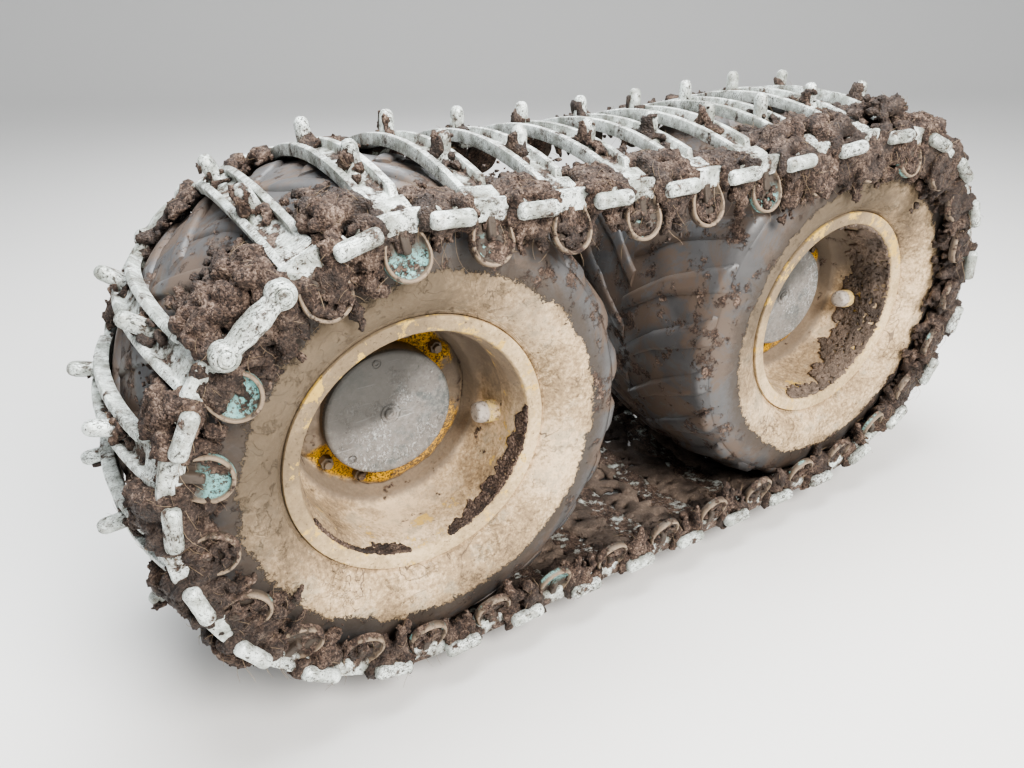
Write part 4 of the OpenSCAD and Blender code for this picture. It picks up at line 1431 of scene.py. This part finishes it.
def cover_shape(name, side):
    """The cover with one open hole, and a shallow seat for each of two bolts."""
    cover = made(name, [turned(side, cover_outline(), COVER_STEPS)], sharp=50)
    for angle, depth in [(HOLE_AT, 0.009)] + [(angle, 0.0022) for angle in BOLTS_AT]:
        profile = [(SEAT_R * 0.93, -depth), (SEAT_R, 1.3 * depth * -0.6), (SEAT_R * 1.04, 0.004)]
        part = set_at(on_wheel(side, angle, BOLT_R, COVER_OUT), lathe(profile, 24))
        cutter = made("seat", [part])
        modifier = cover.modifiers.new("seat", "BOOLEAN")
        modifier.operation, modifier.solver, modifier.object = "DIFFERENCE", "EXACT", cutter
        shape = cover.evaluated_get(bpy.context.evaluated_depsgraph_get())
        mesh = bpy.data.meshes.new_from_object(shape)
        cover.modifiers.clear()
        cover.data = mesh
        bpy.data.objects.remove(cutter)
    cover.data.set_sharp_from_angle(angle=math.radians(25))
    cover.data.materials.clear()
    return cover


for side, name in SIDES.items():
    cover = cover_shape("cover_body_" + name, side)
    dress(cover, "wheel_" + name, SCUFFED, "hub_cover_" + name)


# %% Bolt heads in the cover's seats, and the stub that stands in the open hole
def cover_bolts(side):
    head = [(0.0098, -0.003), (0.0098, 0.0004), (0.0085, 0.0013), (0.0050, 0.0016)]
    head += [(0.0040, -0.0006), (0.0005, -0.0008)]
    stub = [(0.0058, -0.0105), (0.0058, -0.0052), (0.0042, -0.0042), (0.0005, -0.0040)]
    parts = [set_at(on_wheel(side, a, BOLT_R, COVER_OUT), lathe(head, 24)) for a in BOLTS_AT]
    parts.append(set_at(on_wheel(side, HOLE_AT, BOLT_R, COVER_OUT), lathe(stub, 20)))
    return parts


on_both_wheels("cover_bolts_", cover_bolts, SCUFFED)

# %% The valve guard: a short tube on the rim with a ringed cap, pointing to the axis
GUARD_TURN, GUARD_OUT = math.radians(-10), 0.172


def guard_parts(side):
    profile = [(0.0330, -0.302), (0.0330, -0.268), (0.0318, -0.2655), (0.0300, -0.2650)]
    profile += [(0.0300, -0.2620), (0.0312, -0.2605), (0.0312, -0.2570), (0.0296, -0.2555)]
    profile += [(0.0296, -0.2530), (0.0310, -0.2515), (0.0306, -0.2470), (0.0290, -0.2455)]
    profile += [(0.0286, -0.2420), (0.0270, -0.2360), (0.0215, -0.2325), (0.0120, -0.2318)]
    place = on_wheel(side, GUARD_TURN, 0, GUARD_OUT)
    return [set_at(place, lathe(profile, 26, (-1, 0, 0)))]


on_both_wheels("guard_body_", guard_parts, GUARD_PAINT, "valve_guard_")

# %% [markdown]
# ## Mud
# Mud packs between the shoes, fills the spoons of the paddles and hangs in clods from the side
# links. It is built as many soft lumps, placed along the track by chance within set bounds.
# A Geometry Nodes tree melts the lumps into one skin and roughens it. Crumbs and plant fibres
# are then strewn over that skin.


# %% Places along the track's band
def band(s, across, out):
    """A point at a distance along the track, across it, and outwards from the pins' line."""
    x, z = path(s)
    ahead_x, ahead_z = path(s + 0.001)
    tangent = Vector((ahead_x - x, ahead_z - z)).normalized()
    return x + tangent.y * out, TYRE_Y + across, AXLE_Z + z - tangent.x * out


def shoe_floor(across):
    """How far outwards from the pins' line a shoe's inner side lies."""
    return TYRE_R + RUN_GAP - LINK_R - ARCH_R + math.sqrt(ARCH_R**2 - across**2)


def from_shoe(s):
    """Distance along the track to the nearest shoe's middle."""
    t = (s - FIRST_SHOE) % loop_len
    near = min(round(t / PITCH), SHOE_COUNT - 1) * PITCH
    return min(abs(t - near), loop_len - t)


HEAPS = (
    (2.62, 0.98, 0.80),
    (3.67, 0.34, 0.95),
    (4.45, 0.35, 0.22),
    (5.36, 0.34, 0.62),
    (6.05, 0.50, 0.50),
)
EVEN_SHARE = 0.72


def heap_rise(s, at, reach, rise):
    """What a heap adds at a place along the track."""
    return rise * (1 - ease(abs(s % loop_len - at), reach * 0.5, reach))


def mud_share(s, side):
    """How thick the mud is along the track: heaps on the outer side, and small waves."""
    share = EVEN_SHARE
    if side < 0:
        share += sum(heap_rise(s, *heap) for heap in HEAPS)
    turns = 2 * math.pi * s / loop_len
    wave = math.sin(7 * turns + side) + math.sin(17 * turns + 2.1 * side)
    wave += math.sin(31 * turns + 0.7) * 0.8
    return max(share + 0.13 * wave, 0.2)


# %% [markdown]
# ### Lumps
# Every lump is a place and a radius, drawn from one seeded generator, so that each run gives
# the same mud. Bounds taken from the track's own sizes keep it where mud really stays: between
# the shoes, behind the links, around the pins, in the paddles and at the feet of the studs.

# %% Lumps: a place and a radius each. First, the mud between the shoes
rng = np.random.default_rng(11)
lumps = []


def lump(place, radius):
    lumps.append((*place, radius))


def edge_mud(side, count):
    """Mud between the shoes, thickest next to the side bars."""
    for s in rng.uniform(0, loop_len, count):
        share = mud_share(s, side)
        across = 0.378 - 0.225 * rng.random() ** 1.4
        gap = ease(from_shoe(s), 0.040, 0.056)
        top = share * (0.012 + 0.042 * ease(across, 0.21, 0.34)) * gap
        top *= rng.uniform(0.75, 1.15)
        radius = min(rng.uniform(0.010, 0.024), top * 0.7)
        if radius < 0.005:
            continue
        lump(band(s, side * across, shoe_floor(across) + top - radius), radius)


# %% Clods behind the links, strings that hang from them, and curtains where mud is heaped
def link_mud(side, count):
    """Clods behind the links and in the gaps between the paddles."""
    for s in rng.uniform(0, loop_len, count):
        share = mud_share(s, side)
        if rng.random() > share * 0.85:
            continue
        gap = ease(from_shoe(s), 0.044, 0.062)
        gap = max(gap, ease(share, 1.15, 1.35))
        across = rng.uniform(0.352, 0.376 + 0.036 * gap)
        low = -0.022 - (0.020 + 0.060 * gap) * share * rng.random() ** 0.8
        high = -0.016 if across > 0.396 else 0.016
        lump(band(s, side * across, rng.uniform(low, high)), rng.uniform(0.007, 0.019))


def hanging_mud(side, count):
    """Strings of clods in the gaps, hanging further down towards the wheels."""
    for s in rng.uniform(0, loop_len, count):
        share = mud_share(s, side)
        if rng.random() > share * 0.8 or from_shoe(s) < 0.062 * (1 - ease(share, 1.15, 1.35)):
            continue
        across = rng.uniform(0.376, 0.408)
        length = 0.04 + 0.08 * rng.random() * share
        steps = int(length / 0.007)
        for k in range(steps):
            drop = -0.02 - length * k / steps
            place = band(s + rng.normal(0, 0.005), side * (across + rng.normal(0, 0.005)), drop)
            lump(place, 0.015 * (1 - 0.6 * k / steps) * rng.uniform(0.7, 1.3))


def curtain_mud(side, count):
    """Masses that hang over the tyre's side wall where the mud is heaped, with a ragged hem."""
    for s in rng.uniform(0, loop_len, count):
        depth = 0.16 * ease(mud_share(s, side), 0.95, 1.55)
        hem = 0.62 + 0.25 * math.sin(s * 41) + 0.18 * math.sin(s * 97 + 1)
        depth *= hem + 0.15 * math.sin(s * 23)
        if depth < 0.02:
            continue
        t = rng.random() ** 0.8
        across = rng.uniform(0.374, 0.374 + 0.034 * (1 - 0.6 * t))
        lump(band(s, side * across, -0.020 - depth * t), rng.uniform(0.008, 0.018) * (1 - 0.4 * t))


# %% Strings between two paddles, and what is packed around the pins
def tassels(side):
    """Thick strings of mud between two paddles, up to a hand's length."""
    for i in range(SHOE_COUNT):
        for _ in range(3):
            s = FIRST_SHOE + (i + 0.5) * PITCH + rng.uniform(-0.045, 0.045)
            length = rng.uniform(0.04, 0.12)
            across, thick = rng.uniform(0.384, 0.400), rng.uniform(0.013, 0.019)
            if rng.random() > mud_share(s, side):
                continue
            for k in range(int(length / 0.006)):
                t = k * 0.006 / length
                s += rng.normal(0, 0.0022)
                place = band(s, side * (across + rng.normal(0, 0.003)), -0.020 - length * t)
                lump(place, thick * (1 - 0.45 * t) * rng.uniform(0.8, 1.25))


def joint_mud(side):
    """Mud packed around the pins, which parts each link from the shoes' side bars."""
    for i in range(SHOE_COUNT):
        for end in (-1, 1):
            pin = FIRST_SHOE + i * PITCH + end * SHOE_PINS / 2
            share = mud_share(pin, side)
            if rng.random() < 0.3 - 0.3 * share:
                continue
            for _ in range(int(24 + 20 * share)):
                s = pin - end * 0.002 + rng.normal(0, 0.012)
                across = rng.uniform(0.362, 0.410)
                high = 0.036 if across < 0.398 else 0.010
                lump(band(s, side * across, rng.uniform(0.0, high)), rng.uniform(0.008, 0.0125))
            for _ in range(int(16 + 12 * share)):
                s = pin - end * rng.uniform(0.002, 0.032)
                place = band(s, side * rng.uniform(0.398, 0.412), rng.uniform(-0.026, 0.030))
                lump(place, rng.uniform(0.008, 0.012))


# %% Mud in the spoons of the paddles: many are full to the rim, some are clean
FULL_PADDLES = (2, 26, 27, 28, 31)
DISH_R = 0.045


def paddle_mud(side):
    for i in range(SHOE_COUNT):
        place = on_paddle(SHOES[i], side)
        fill = rng.random() + (0.3 if i in BARE_PADDLES and side < 0 else -0.15)
        heap = ease(mud_share(FIRST_SHOE + i * PITCH, side), 1.15, 1.45)
        fill -= heap + (1.5 if i in FULL_PADDLES and side < 0 else 0)
        reach = 0.110 if fill < 0.50 else 0.050 if fill < 0.72 else 0.014
        for _ in range(int(reach * 1100 * (1 + 0.5 * heap))):
            along_it = rng.uniform(0, reach)
            half = 0.024
            if along_it >= 0.04:
                half = math.sqrt(max(DISH_R**2 - (along_it - PADDLE_AT) ** 2, 0))
            half *= 1 + 0.25 * heap
            high = rng.uniform(0.001, 0.007 + 0.012 * heap)
            spot = Vector((rng.uniform(-half, half), along_it, -high))
            lump(place @ spot, rng.uniform(0.0055, 0.0085) + 0.003 * heap)


# %% Mud on the studs, and the bed that the wheels press down
MOUND_REACH, MOUND_H = 0.062, 0.030


def stud_mud(count):
    """Mounds around the feet of the studs, and caps against one side of most studs."""
    for i in range(SHOE_COUNT):
        place = SHOES[i]
        for side in (-1, 1):
            for _ in range(count):
                away = rng.uniform(0.010, MOUND_REACH) * rng.choice((-1, 1))
                rise = MOUND_H * (1 - abs(away) / MOUND_REACH)
                across = side * STUD_Y + away
                spot = Vector(on_arch(rng.uniform(-0.024, 0.024), across, FLOOR + rise))
                lump(place @ spot, rng.uniform(0.008, 0.015))
            if rng.random() > 0.75:
                continue
            tall = rng.uniform(0.040, 0.068)
            for _ in range(56):
                a = rng.normal(0.0, 0.70)
                spot = Vector((-math.cos(a) * STUD_R, side * STUD_Y + math.sin(a) * STUD_R, 0))
                spot.z = stud_base + 0.012 + tall * rng.random()
                lump(place @ spot, rng.uniform(0.005, 0.011))


def bed_mud(count):
    """Mud between the shoes of the bottom run, where the wheels press it down."""
    for s in rng.uniform(-0.45, run_bottom + 0.45, count):
        gap = from_shoe(s)
        if gap < 0.034:
            continue
        across = rng.uniform(-0.350, 0.350)
        top = -0.003 + 0.010 * ease(gap, 0.036, 0.06) + rng.normal(0, 0.0025)
        radius = rng.uniform(0.015, 0.022)
        beds.append((*band(s, across, shoe_floor(across) - top + radius), radius))


# %% All the lumps, side by side
beds = []
for side, share in ((-1, 1.0), (1, 0.7)):
    edge_mud(side, int(5200 * share))
    link_mud(side, int(3000 * share))
    hanging_mud(side, int(120 * share))
    curtain_mud(side, int(5200 * share))
    tassels(side)
    paddle_mud(side)
    joint_mud(side)
stud_mud(16)
bed_mud(4200)
print("lumps:", len(lumps), "in the bed:", len(beds))

# %% [markdown]
# ### Melting and strewing
# Metaballs would melt lumps too, but thousands of them are slow. Points turned into a volume,
# and the volume into a mesh, are quick and closed everywhere. The other two trees set copies
# of one small shape: over a skin by density, or hanging from given points.

# %% The tree that melts lumps into one skin
melt = Group(
    "melted_lumps",
    ("Base", "Geometry"),
    ("Voxel", "Float"),
    ("Clods", "Float"),
    ("Grains", "Float"),
    ("Finish", "Material"),
)
given = melt.given
size = melt.add("GeometryNodeInputNamedAttribute", {"data_type": "FLOAT"}, {0: "size"})
dots = melt.add("GeometryNodeMeshToPoints", None, {0: given["Base"], 3: size})
sockets = {0: dots, 2: given["Voxel"], 4: size}
cloud = melt.add("GeometryNodePointsToVolume", {"resolution_mode": "VOXEL_SIZE"}, sockets)
hull = melt.add("GeometryNodeVolumeToMesh", None, {0: cloud, 3: 0.1, 4: 0.05})
clods = melt.worn(hull, given["Clods"], 38.0, 1.0)
grains = melt.worn(clods, given["Grains"], 130.0, 2.0)
smooth = melt.add("GeometryNodeSetShadeSmooth", None, {0: grains})
melt.end(smooth, given["Finish"])

# %% The tree that strews small things over a skin
strew = Group(
    "strewn",
    ("Base", "Geometry"),
    ("Shape", "Object"),
    ("Density", "Float"),
    ("Small", "Float"),
    ("Large", "Float"),
    ("Lying", "Bool"),
    ("Turn low", "Vector"),
    ("Turn high", "Vector"),
    ("Seed", "Int"),
    ("Finish", "Material"),
)
given = strew.given
sockets = {0: given["Base"], 4: given["Density"], 6: given["Seed"]}
spots = strew.add("GeometryNodeDistributePointsOnFaces", None, sockets)
flat = Socket(strew, spots.link.node.outputs["Rotation"])
sockets = {2: given["Small"], 3: given["Large"], 8: given["Seed"]}
scale = strew.add("FunctionNodeRandomValue", {"data_type": "FLOAT"}, sockets, output=1)
sockets = {0: given["Turn low"], 1: given["Turn high"], 8: given["Seed"]}
any_way = strew.add("FunctionNodeRandomValue", {"data_type": "FLOAT_VECTOR"}, sockets)
sockets = {"Switch": given["Lying"], "False": (0.0, 0.0, 0.0), "True": flat}
facing = strew.add("GeometryNodeSwitch", {"input_type": "ROTATION"}, sockets)
thing = strew.add("GeometryNodeObjectInfo", None, {0: given["Shape"]}, output=4)
sockets = {0: spots, 2: thing, 5: facing, 6: scale}
set_down = strew.add("GeometryNodeInstanceOnPoints", None, sockets)
spun = strew.add("GeometryNodeRotateInstances", None, {0: set_down, 2: any_way})
strew.end(spun, given["Finish"])

# %% The tree that hangs strands from single points
ROUND = 6.28
hang = Group(
    "hung",
    ("Base", "Geometry"),
    ("Shape", "Object"),
    ("Small", "Float"),
    ("Large", "Float"),
    ("Seed", "Int"),
    ("Finish", "Material"),
)
given = hang.given
spots = hang.add("GeometryNodeMeshToPoints", None, {0: given["Base"]})
sockets = {2: given["Small"], 3: given["Large"], 8: given["Seed"]}
scale = hang.add("FunctionNodeRandomValue", {"data_type": "FLOAT"}, sockets, output=1)
sockets = {0: (0.0, 1.15, -0.6), 1: (ROUND, 2.0, 0.6), 8: given["Seed"]}
downwards = hang.add("FunctionNodeRandomValue", {"data_type": "FLOAT_VECTOR"}, sockets)
thing = hang.add("GeometryNodeObjectInfo", None, {0: given["Shape"]}, output=4)
sockets = {0: spots, 2: thing, 5: downwards, 6: scale}
hang.end(hang.add("GeometryNodeInstanceOnPoints", None, sockets), given["Finish"])


# %% [markdown]
# ### Room for the wheels
# The tyres turn inside the track, so its mud must not touch them at any turn. A boolean with
# the swept tyre would leave cut faces. Moving each point out of the tyre's own room, to its
# nearer side, keeps the skin closed and soft.

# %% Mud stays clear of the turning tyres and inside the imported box
MUD_CLEAR, STRAND_CLEAR, BOX_CLEAR = 0.005, 0.010, 0.002
LUG_PROUD = 0.003


def keep_clear(piece):
    """Moves every point of a piece out of the room that the tyres turn in."""
    margin = STRAND_CLEAR if piece.name.startswith(("straws", "roots")) else MUD_CLEAR
    count = len(piece.data.vertices)
    flat = np.empty(count * 3)
    piece.data.vertices.foreach_get("co", flat)
    points = flat.reshape(count, 3)
    for side in (FRONT, REAR):
        x, z = points[:, 0] - side * HALF_BASE, points[:, 2] - AXLE_Z
        radius = np.hypot(x, z)
        across = points[:, 1] - TYRE_Y
        out = np.abs(across)
        tip = TYRE_R - CROWN_R + np.sqrt(CROWN_R**2 - np.minimum(out, 0.4) ** 2) + margin
        bulge = np.maximum(SIDE_R**2 - (radius - SIDE_MID) ** 2, 0)
        wall = SIDE_OUT + np.sqrt(bulge) + LUG_PROUD + margin
        inside = (radius < tip) & (out < wall)
        outward = inside & (tip - radius < wall - out)
        grow = np.where(outward, tip / np.maximum(radius, 0.1), 1.0)
        points[:, 0] = side * HALF_BASE + x * grow
        points[:, 2] = AXLE_Z + z * grow
        sideways = inside & ~outward
        points[:, 1] = TYRE_Y + np.where(sideways, np.sign(across) * wall, across)
    low, high = (np.array(corner) for corner in cad_box)
    points[:] = np.clip(points, low + BOX_CLEAR, high - BOX_CLEAR)
    piece.data.vertices.foreach_set("co", points.ravel())
    piece.data.update()


def lump_mesh(name, rows):
    """A mesh of loose points with a size each, for the melting tree."""
    mesh = bpy.data.meshes.new(name)
    mesh.from_pydata([row[:3] for row in rows], [], [])
    layer = mesh.attributes.new("size", "FLOAT", "POINT")
    layer.data.foreach_set("value", [row[3] for row in rows])
    return mesh


# %% [markdown]
# ### Crumbs, straws and roots
# Mud reads as mud by its smallest things, and there are thousands of them. Each is therefore a
# shape of a few faces, and it is the tree that gives every copy its own size and turn.

# %% A crumb, a straw and a root: the small things in mud
def crumb_part():
    """A lopsided double pyramid, one unit in radius."""
    points = [(1.0, 0, 0.1), (-0.8, 0.1, 0), (0.1, 0.9, 0), (0, -0.75, 0.15)]
    points += [(0.1, 0, 0.7), (0, 0.1, -0.6)]
    faces = [(0, 2, 4), (2, 1, 4), (1, 3, 4), (3, 0, 4)]
    faces += [(2, 0, 5), (1, 2, 5), (3, 1, 5), (0, 3, 5)]
    return points, faces


def strand(bends, thick, steps):
    """A thin tapering strand, one unit long, along x. Bends give its sway to y and to z."""
    rings = []
    for k in range(steps):
        t = k / (steps - 1)
        r = thick * (1 - 0.6 * t)
        y, z = (size * math.sin(turn * t) for size, turn in bends)
        rings.append([(t, y + r * math.cos(a), z + r * math.sin(a)) for a in (0, 2.09, 4.19)])
    return skin(rings)


crumb = made("crumb", [crumb_part()], sharp=20)
straw = made("straw", [strand(((0.12, 2.4), (0.09, 3.1)), 0.022, 4)], sharp=180)
root = made("root", [strand(((0.20, 3.4), (0.10, 5.2)), 0.0085, 8)], sharp=180)

# %% The track's mud, outer side and inner side apart
CRUMBS = {"Turn low": (0.0, 0.0, 0.0), "Turn high": (ROUND,) * 3, "Lying": False}
STRAWS = {"Turn low": (-0.25, -0.25, 0.0), "Turn high": (0.25, 0.25, ROUND), "Lying": True}
ROOTS_OUT, ROOTS_IN = 330, 120


def root_places(side, count):
    """Places at the track's edge, in the gaps between the paddles, where roots hang down."""
    rows = []
    while len(rows) < count:
        s = rng.uniform(run_bottom + 0.3, loop_len)
        across, out = rng.uniform(0.372, 0.412), rng.uniform(-0.045, -0.012)
        if from_shoe(s) > 0.050 or rng.random() < 0.25:
            rows.append((*band(s, side * across, out), 0.0))
    return rows


muds = []
for side, name, voxel, share, roots in (
    (-1, "outer", 0.0100, 1.0, ROOTS_OUT),
    (1, "inner", 0.0155, 0.3, ROOTS_IN),
):
    rows = [row for row in lumps if (row[1] - TYRE_Y) * side > 0]
    values = {"Voxel": voxel, "Clods": 0.014, "Grains": 0.007, "Finish": MUD}
    packed = grown("mud_" + name, melt, lump_mesh("lumps_" + name, rows), **values)
    values = {"Shape": crumb, "Density": 2950.0 * share, "Small": 0.0018, "Large": 0.0066, **CRUMBS}
    crumbs = grown("crumbs_" + name, strew, packed.data, **values, Seed=3, Finish=MUD)
    values = {"Shape": straw, "Density": 470.0 * share, "Small": 0.010, "Large": 0.040, **STRAWS}
    straws = grown("straws_" + name, strew, packed.data, **values, Seed=5, Finish=FIBRE)
    places = lump_mesh("roots_" + name, root_places(side, roots))
    values = {"Shape": root, "Small": 0.035, "Large": 0.125, "Seed": 7, "Finish": FIBRE}
    hung = grown("roots_" + name, hang, places, **values)
    muds += [packed, crumbs, straws, hung]
values = {"Voxel": 0.0155, "Clods": 0.010, "Grains": 0.006, "Finish": DRY_MUD}
muds.append(grown("mud_bed", melt, lump_mesh("lumps_bed", beds), **values))
for piece in muds:
    keep_clear(piece)
    dress(piece, "bogie")

# %% [markdown]
# ### Crust in the rims
# Wet mud is thrown into the rims and dries there in a band with a broken edge. It turns with
# the wheel, so it is apart from the track's mud and rides on the wheel's own body.

# %% The crust in the rims' bowls: a thin band of it in front, most of the bowl behind
CRUSTS = {
    FRONT: ((-78, 4, 0.048, 1500), (-124, -100, 0.034, 320), (-160, -124, 0.010, 260)),
    REAR: ((-78, 66, 0.165, 5200), (-112, -78, 0.060, 500), (66, 96, 0.050, 320)),
}


def barrel(out):
    """Radius of the rim's inner side at a place outwards."""
    return 0.300 + 0.016 * ease(out, RIM_HALF - 0.070, RIM_HALF - 0.016)


for side, name in SIDES.items():
    rows = []
    for start, end, width, count in CRUSTS[side]:
        for _ in range(count):
            t = rng.random()
            edge = math.sin(math.pi * t) ** 0.4 + 0.13 * math.sin(37 * t) + 0.08 * math.sin(91 * t)
            out = RIM_HALF - 0.010 - width * max(edge, 0.05) * rng.random() ** 0.9
            size = rng.uniform(0.0035, 0.0065)
            a = math.radians(start + (end - start) * t)
            r = barrel(out) - size * (rng.uniform(-0.5, 0.15) if side == FRONT else rng.random())
            rows.append((*wheel_point(side, r, a, out), size))
    voxel, finish = (0.0042, MUD) if side == FRONT else (0.0060, DRY_MUD)
    values = {"Voxel": voxel, "Clods": 0.003, "Grains": 0.0035, "Finish": finish}
    crust = grown("crust_" + name, melt, lump_mesh("lumps_crust", rows), **values)
    values = {"Shape": crumb, "Density": 6000.0, "Small": 0.0014, "Large": 0.0042, **CRUMBS}
    bits = grown("crust_crumbs_" + name, strew, crust.data, **values, Seed=9, Finish=finish)
    for piece in (crust, bits):
        dress(piece, "wheel_" + name)
for shape in (crumb, straw, root):
    bpy.data.objects.remove(shape)

# %% [markdown]
# ## What stays as packed
# The gear case, the axle arm and the small turned parts are already right in form. They only
# take their finish here.

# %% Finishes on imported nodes
KEPT = (
    (CASE_PAINT, ("gear_case", "case_cover", "carrier_front", "carrier_rear", "axle_arm")),
    (PLAIN_STEEL, ("journal_cap", "bearing_ring", "oil_plugs")),
    (HUB_PAINT, ("hub_front", "hub_rear", "wheel_nuts_front", "wheel_nuts_rear")),
)
for finish, names in KEPT:
    for name in names:
        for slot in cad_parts[name].material_slots:
            slot.link = "OBJECT"
            slot.material = finish
    print(finish.name, "on", *names)

# %% [markdown]
# ## Floor, light and camera
# The light is the even one of a bright, overcast day. A pale world gives it, three large soft
# lamps give it a direction, and the floor is a plain pale sheet under the track. A flat plane
# would end in a hard horizon, so the sheet curves up far behind the wheels.

# %% Floor and backdrop, one pale sheet that curves up far behind
SWEEP_FROM, SWEEP_R, SWEEP_STEPS = 9.0, 6.0, 24
SHEET_NEAR, SHEET_TOP, SHEET_HALF = -30.0, 24.0, 40
sheet = [(SHEET_NEAR, 0.0), (SWEEP_FROM, 0.0)]
for k in range(1, SWEEP_STEPS + 1):
    a = math.pi / 2 * k / SWEEP_STEPS
    sheet.append((SWEEP_FROM + SWEEP_R * math.sin(a), SWEEP_R * (1 - math.cos(a))))
sheet.append((SWEEP_FROM + SWEEP_R, SHEET_TOP))
turn_to_camera = Matrix.Rotation(math.radians(-31), 4, "Z")
across = (-SHEET_HALF, SHEET_HALF)
points = [turn_to_camera @ Vector((x, y, FLOOR_Z - 0.001 + z)) for y, z in sheet for x in across]
mesh = bpy.data.meshes.new("studio_sheet")
faces = [(2 * i, 2 * i + 1, 2 * i + 3, 2 * i + 2) for i in range(len(sheet) - 1)]
mesh.from_pydata([tuple(p) for p in points], [], faces)
mesh.shade_smooth()
floor = added("studio_sheet", mesh)
f = Finish("studio_sheet")
floor.data.materials.append(f.done(rgb(0.78, 0.77, 0.75), 0.9))


# %% Lights
def lamp(name, place, aim, size, power, colour):
    light = bpy.data.lights.new(name, "AREA")
    light.size, light.energy, light.color = size, power, colour
    light.shape = "DISK"
    holder = bpy.data.objects.new(name, light)
    holder.location = place
    holder.rotation_euler = (Vector(aim) - Vector(place)).to_track_quat("-Z", "Y").to_euler()
    bpy.context.scene.collection.objects.link(holder)
    print(name, power, "W")


lamp("sky_front", (0.4, -6.0, 4.2), (0, -0.9, -0.1), 3.2, 760, (1.0, 0.965, 0.92))
lamp("sky_top", (-0.5, -0.8, 5.0), (0, -0.9, 0), 3.6, 520, (0.95, 0.98, 1.0))
lamp("sky_back", (2.5, 4.5, 3.6), (0, -0.4, 0), 3.0, 160, (0.95, 0.97, 1.0))
world = bpy.data.worlds.new("overcast")
bpy.context.scene.world = world
world.use_nodes = True
world.node_tree.nodes["Background"].inputs[0].default_value = (0.88, 0.91, 0.95, 1)
world.node_tree.nodes["Background"].inputs[1].default_value = 0.62
bpy.context.scene.view_settings.look = "AgX - Medium High Contrast"

# %% The camera, at the photo's angle
azimuth, elevation, roll = (math.radians(v) for v in (-31.41, 28.68, -0.50))
flat = math.cos(elevation)
ahead = Vector((-math.sin(azimuth) * flat, math.cos(azimuth) * flat, -math.sin(elevation)))
level = Vector((math.cos(azimuth), math.sin(azimuth), 0))
lift = level.cross(ahead)
right = level * math.cos(roll) + lift * math.sin(roll)
up = lift * math.cos(roll) - level * math.sin(roll)
lens = bpy.data.cameras.new("photo_view")
lens.lens, lens.sensor_width = 27.58, 36.0
lens.clip_start = 0.05
camera = bpy.data.objects.new("photo_view", lens)
pose = Matrix((right, up, -ahead)).transposed().to_4x4()
camera.matrix_world = Matrix.Translation((-1.4504, -2.7587, 1.0370)) @ pose
bpy.context.scene.collection.objects.link(camera)
bpy.context.scene.camera = camera

# %% [markdown]
# ## The last step
# The track's line was only a guide for the trees, so it is taken out of the scene.

# %% The track's line is taken out
bpy.data.objects.remove(track_line)
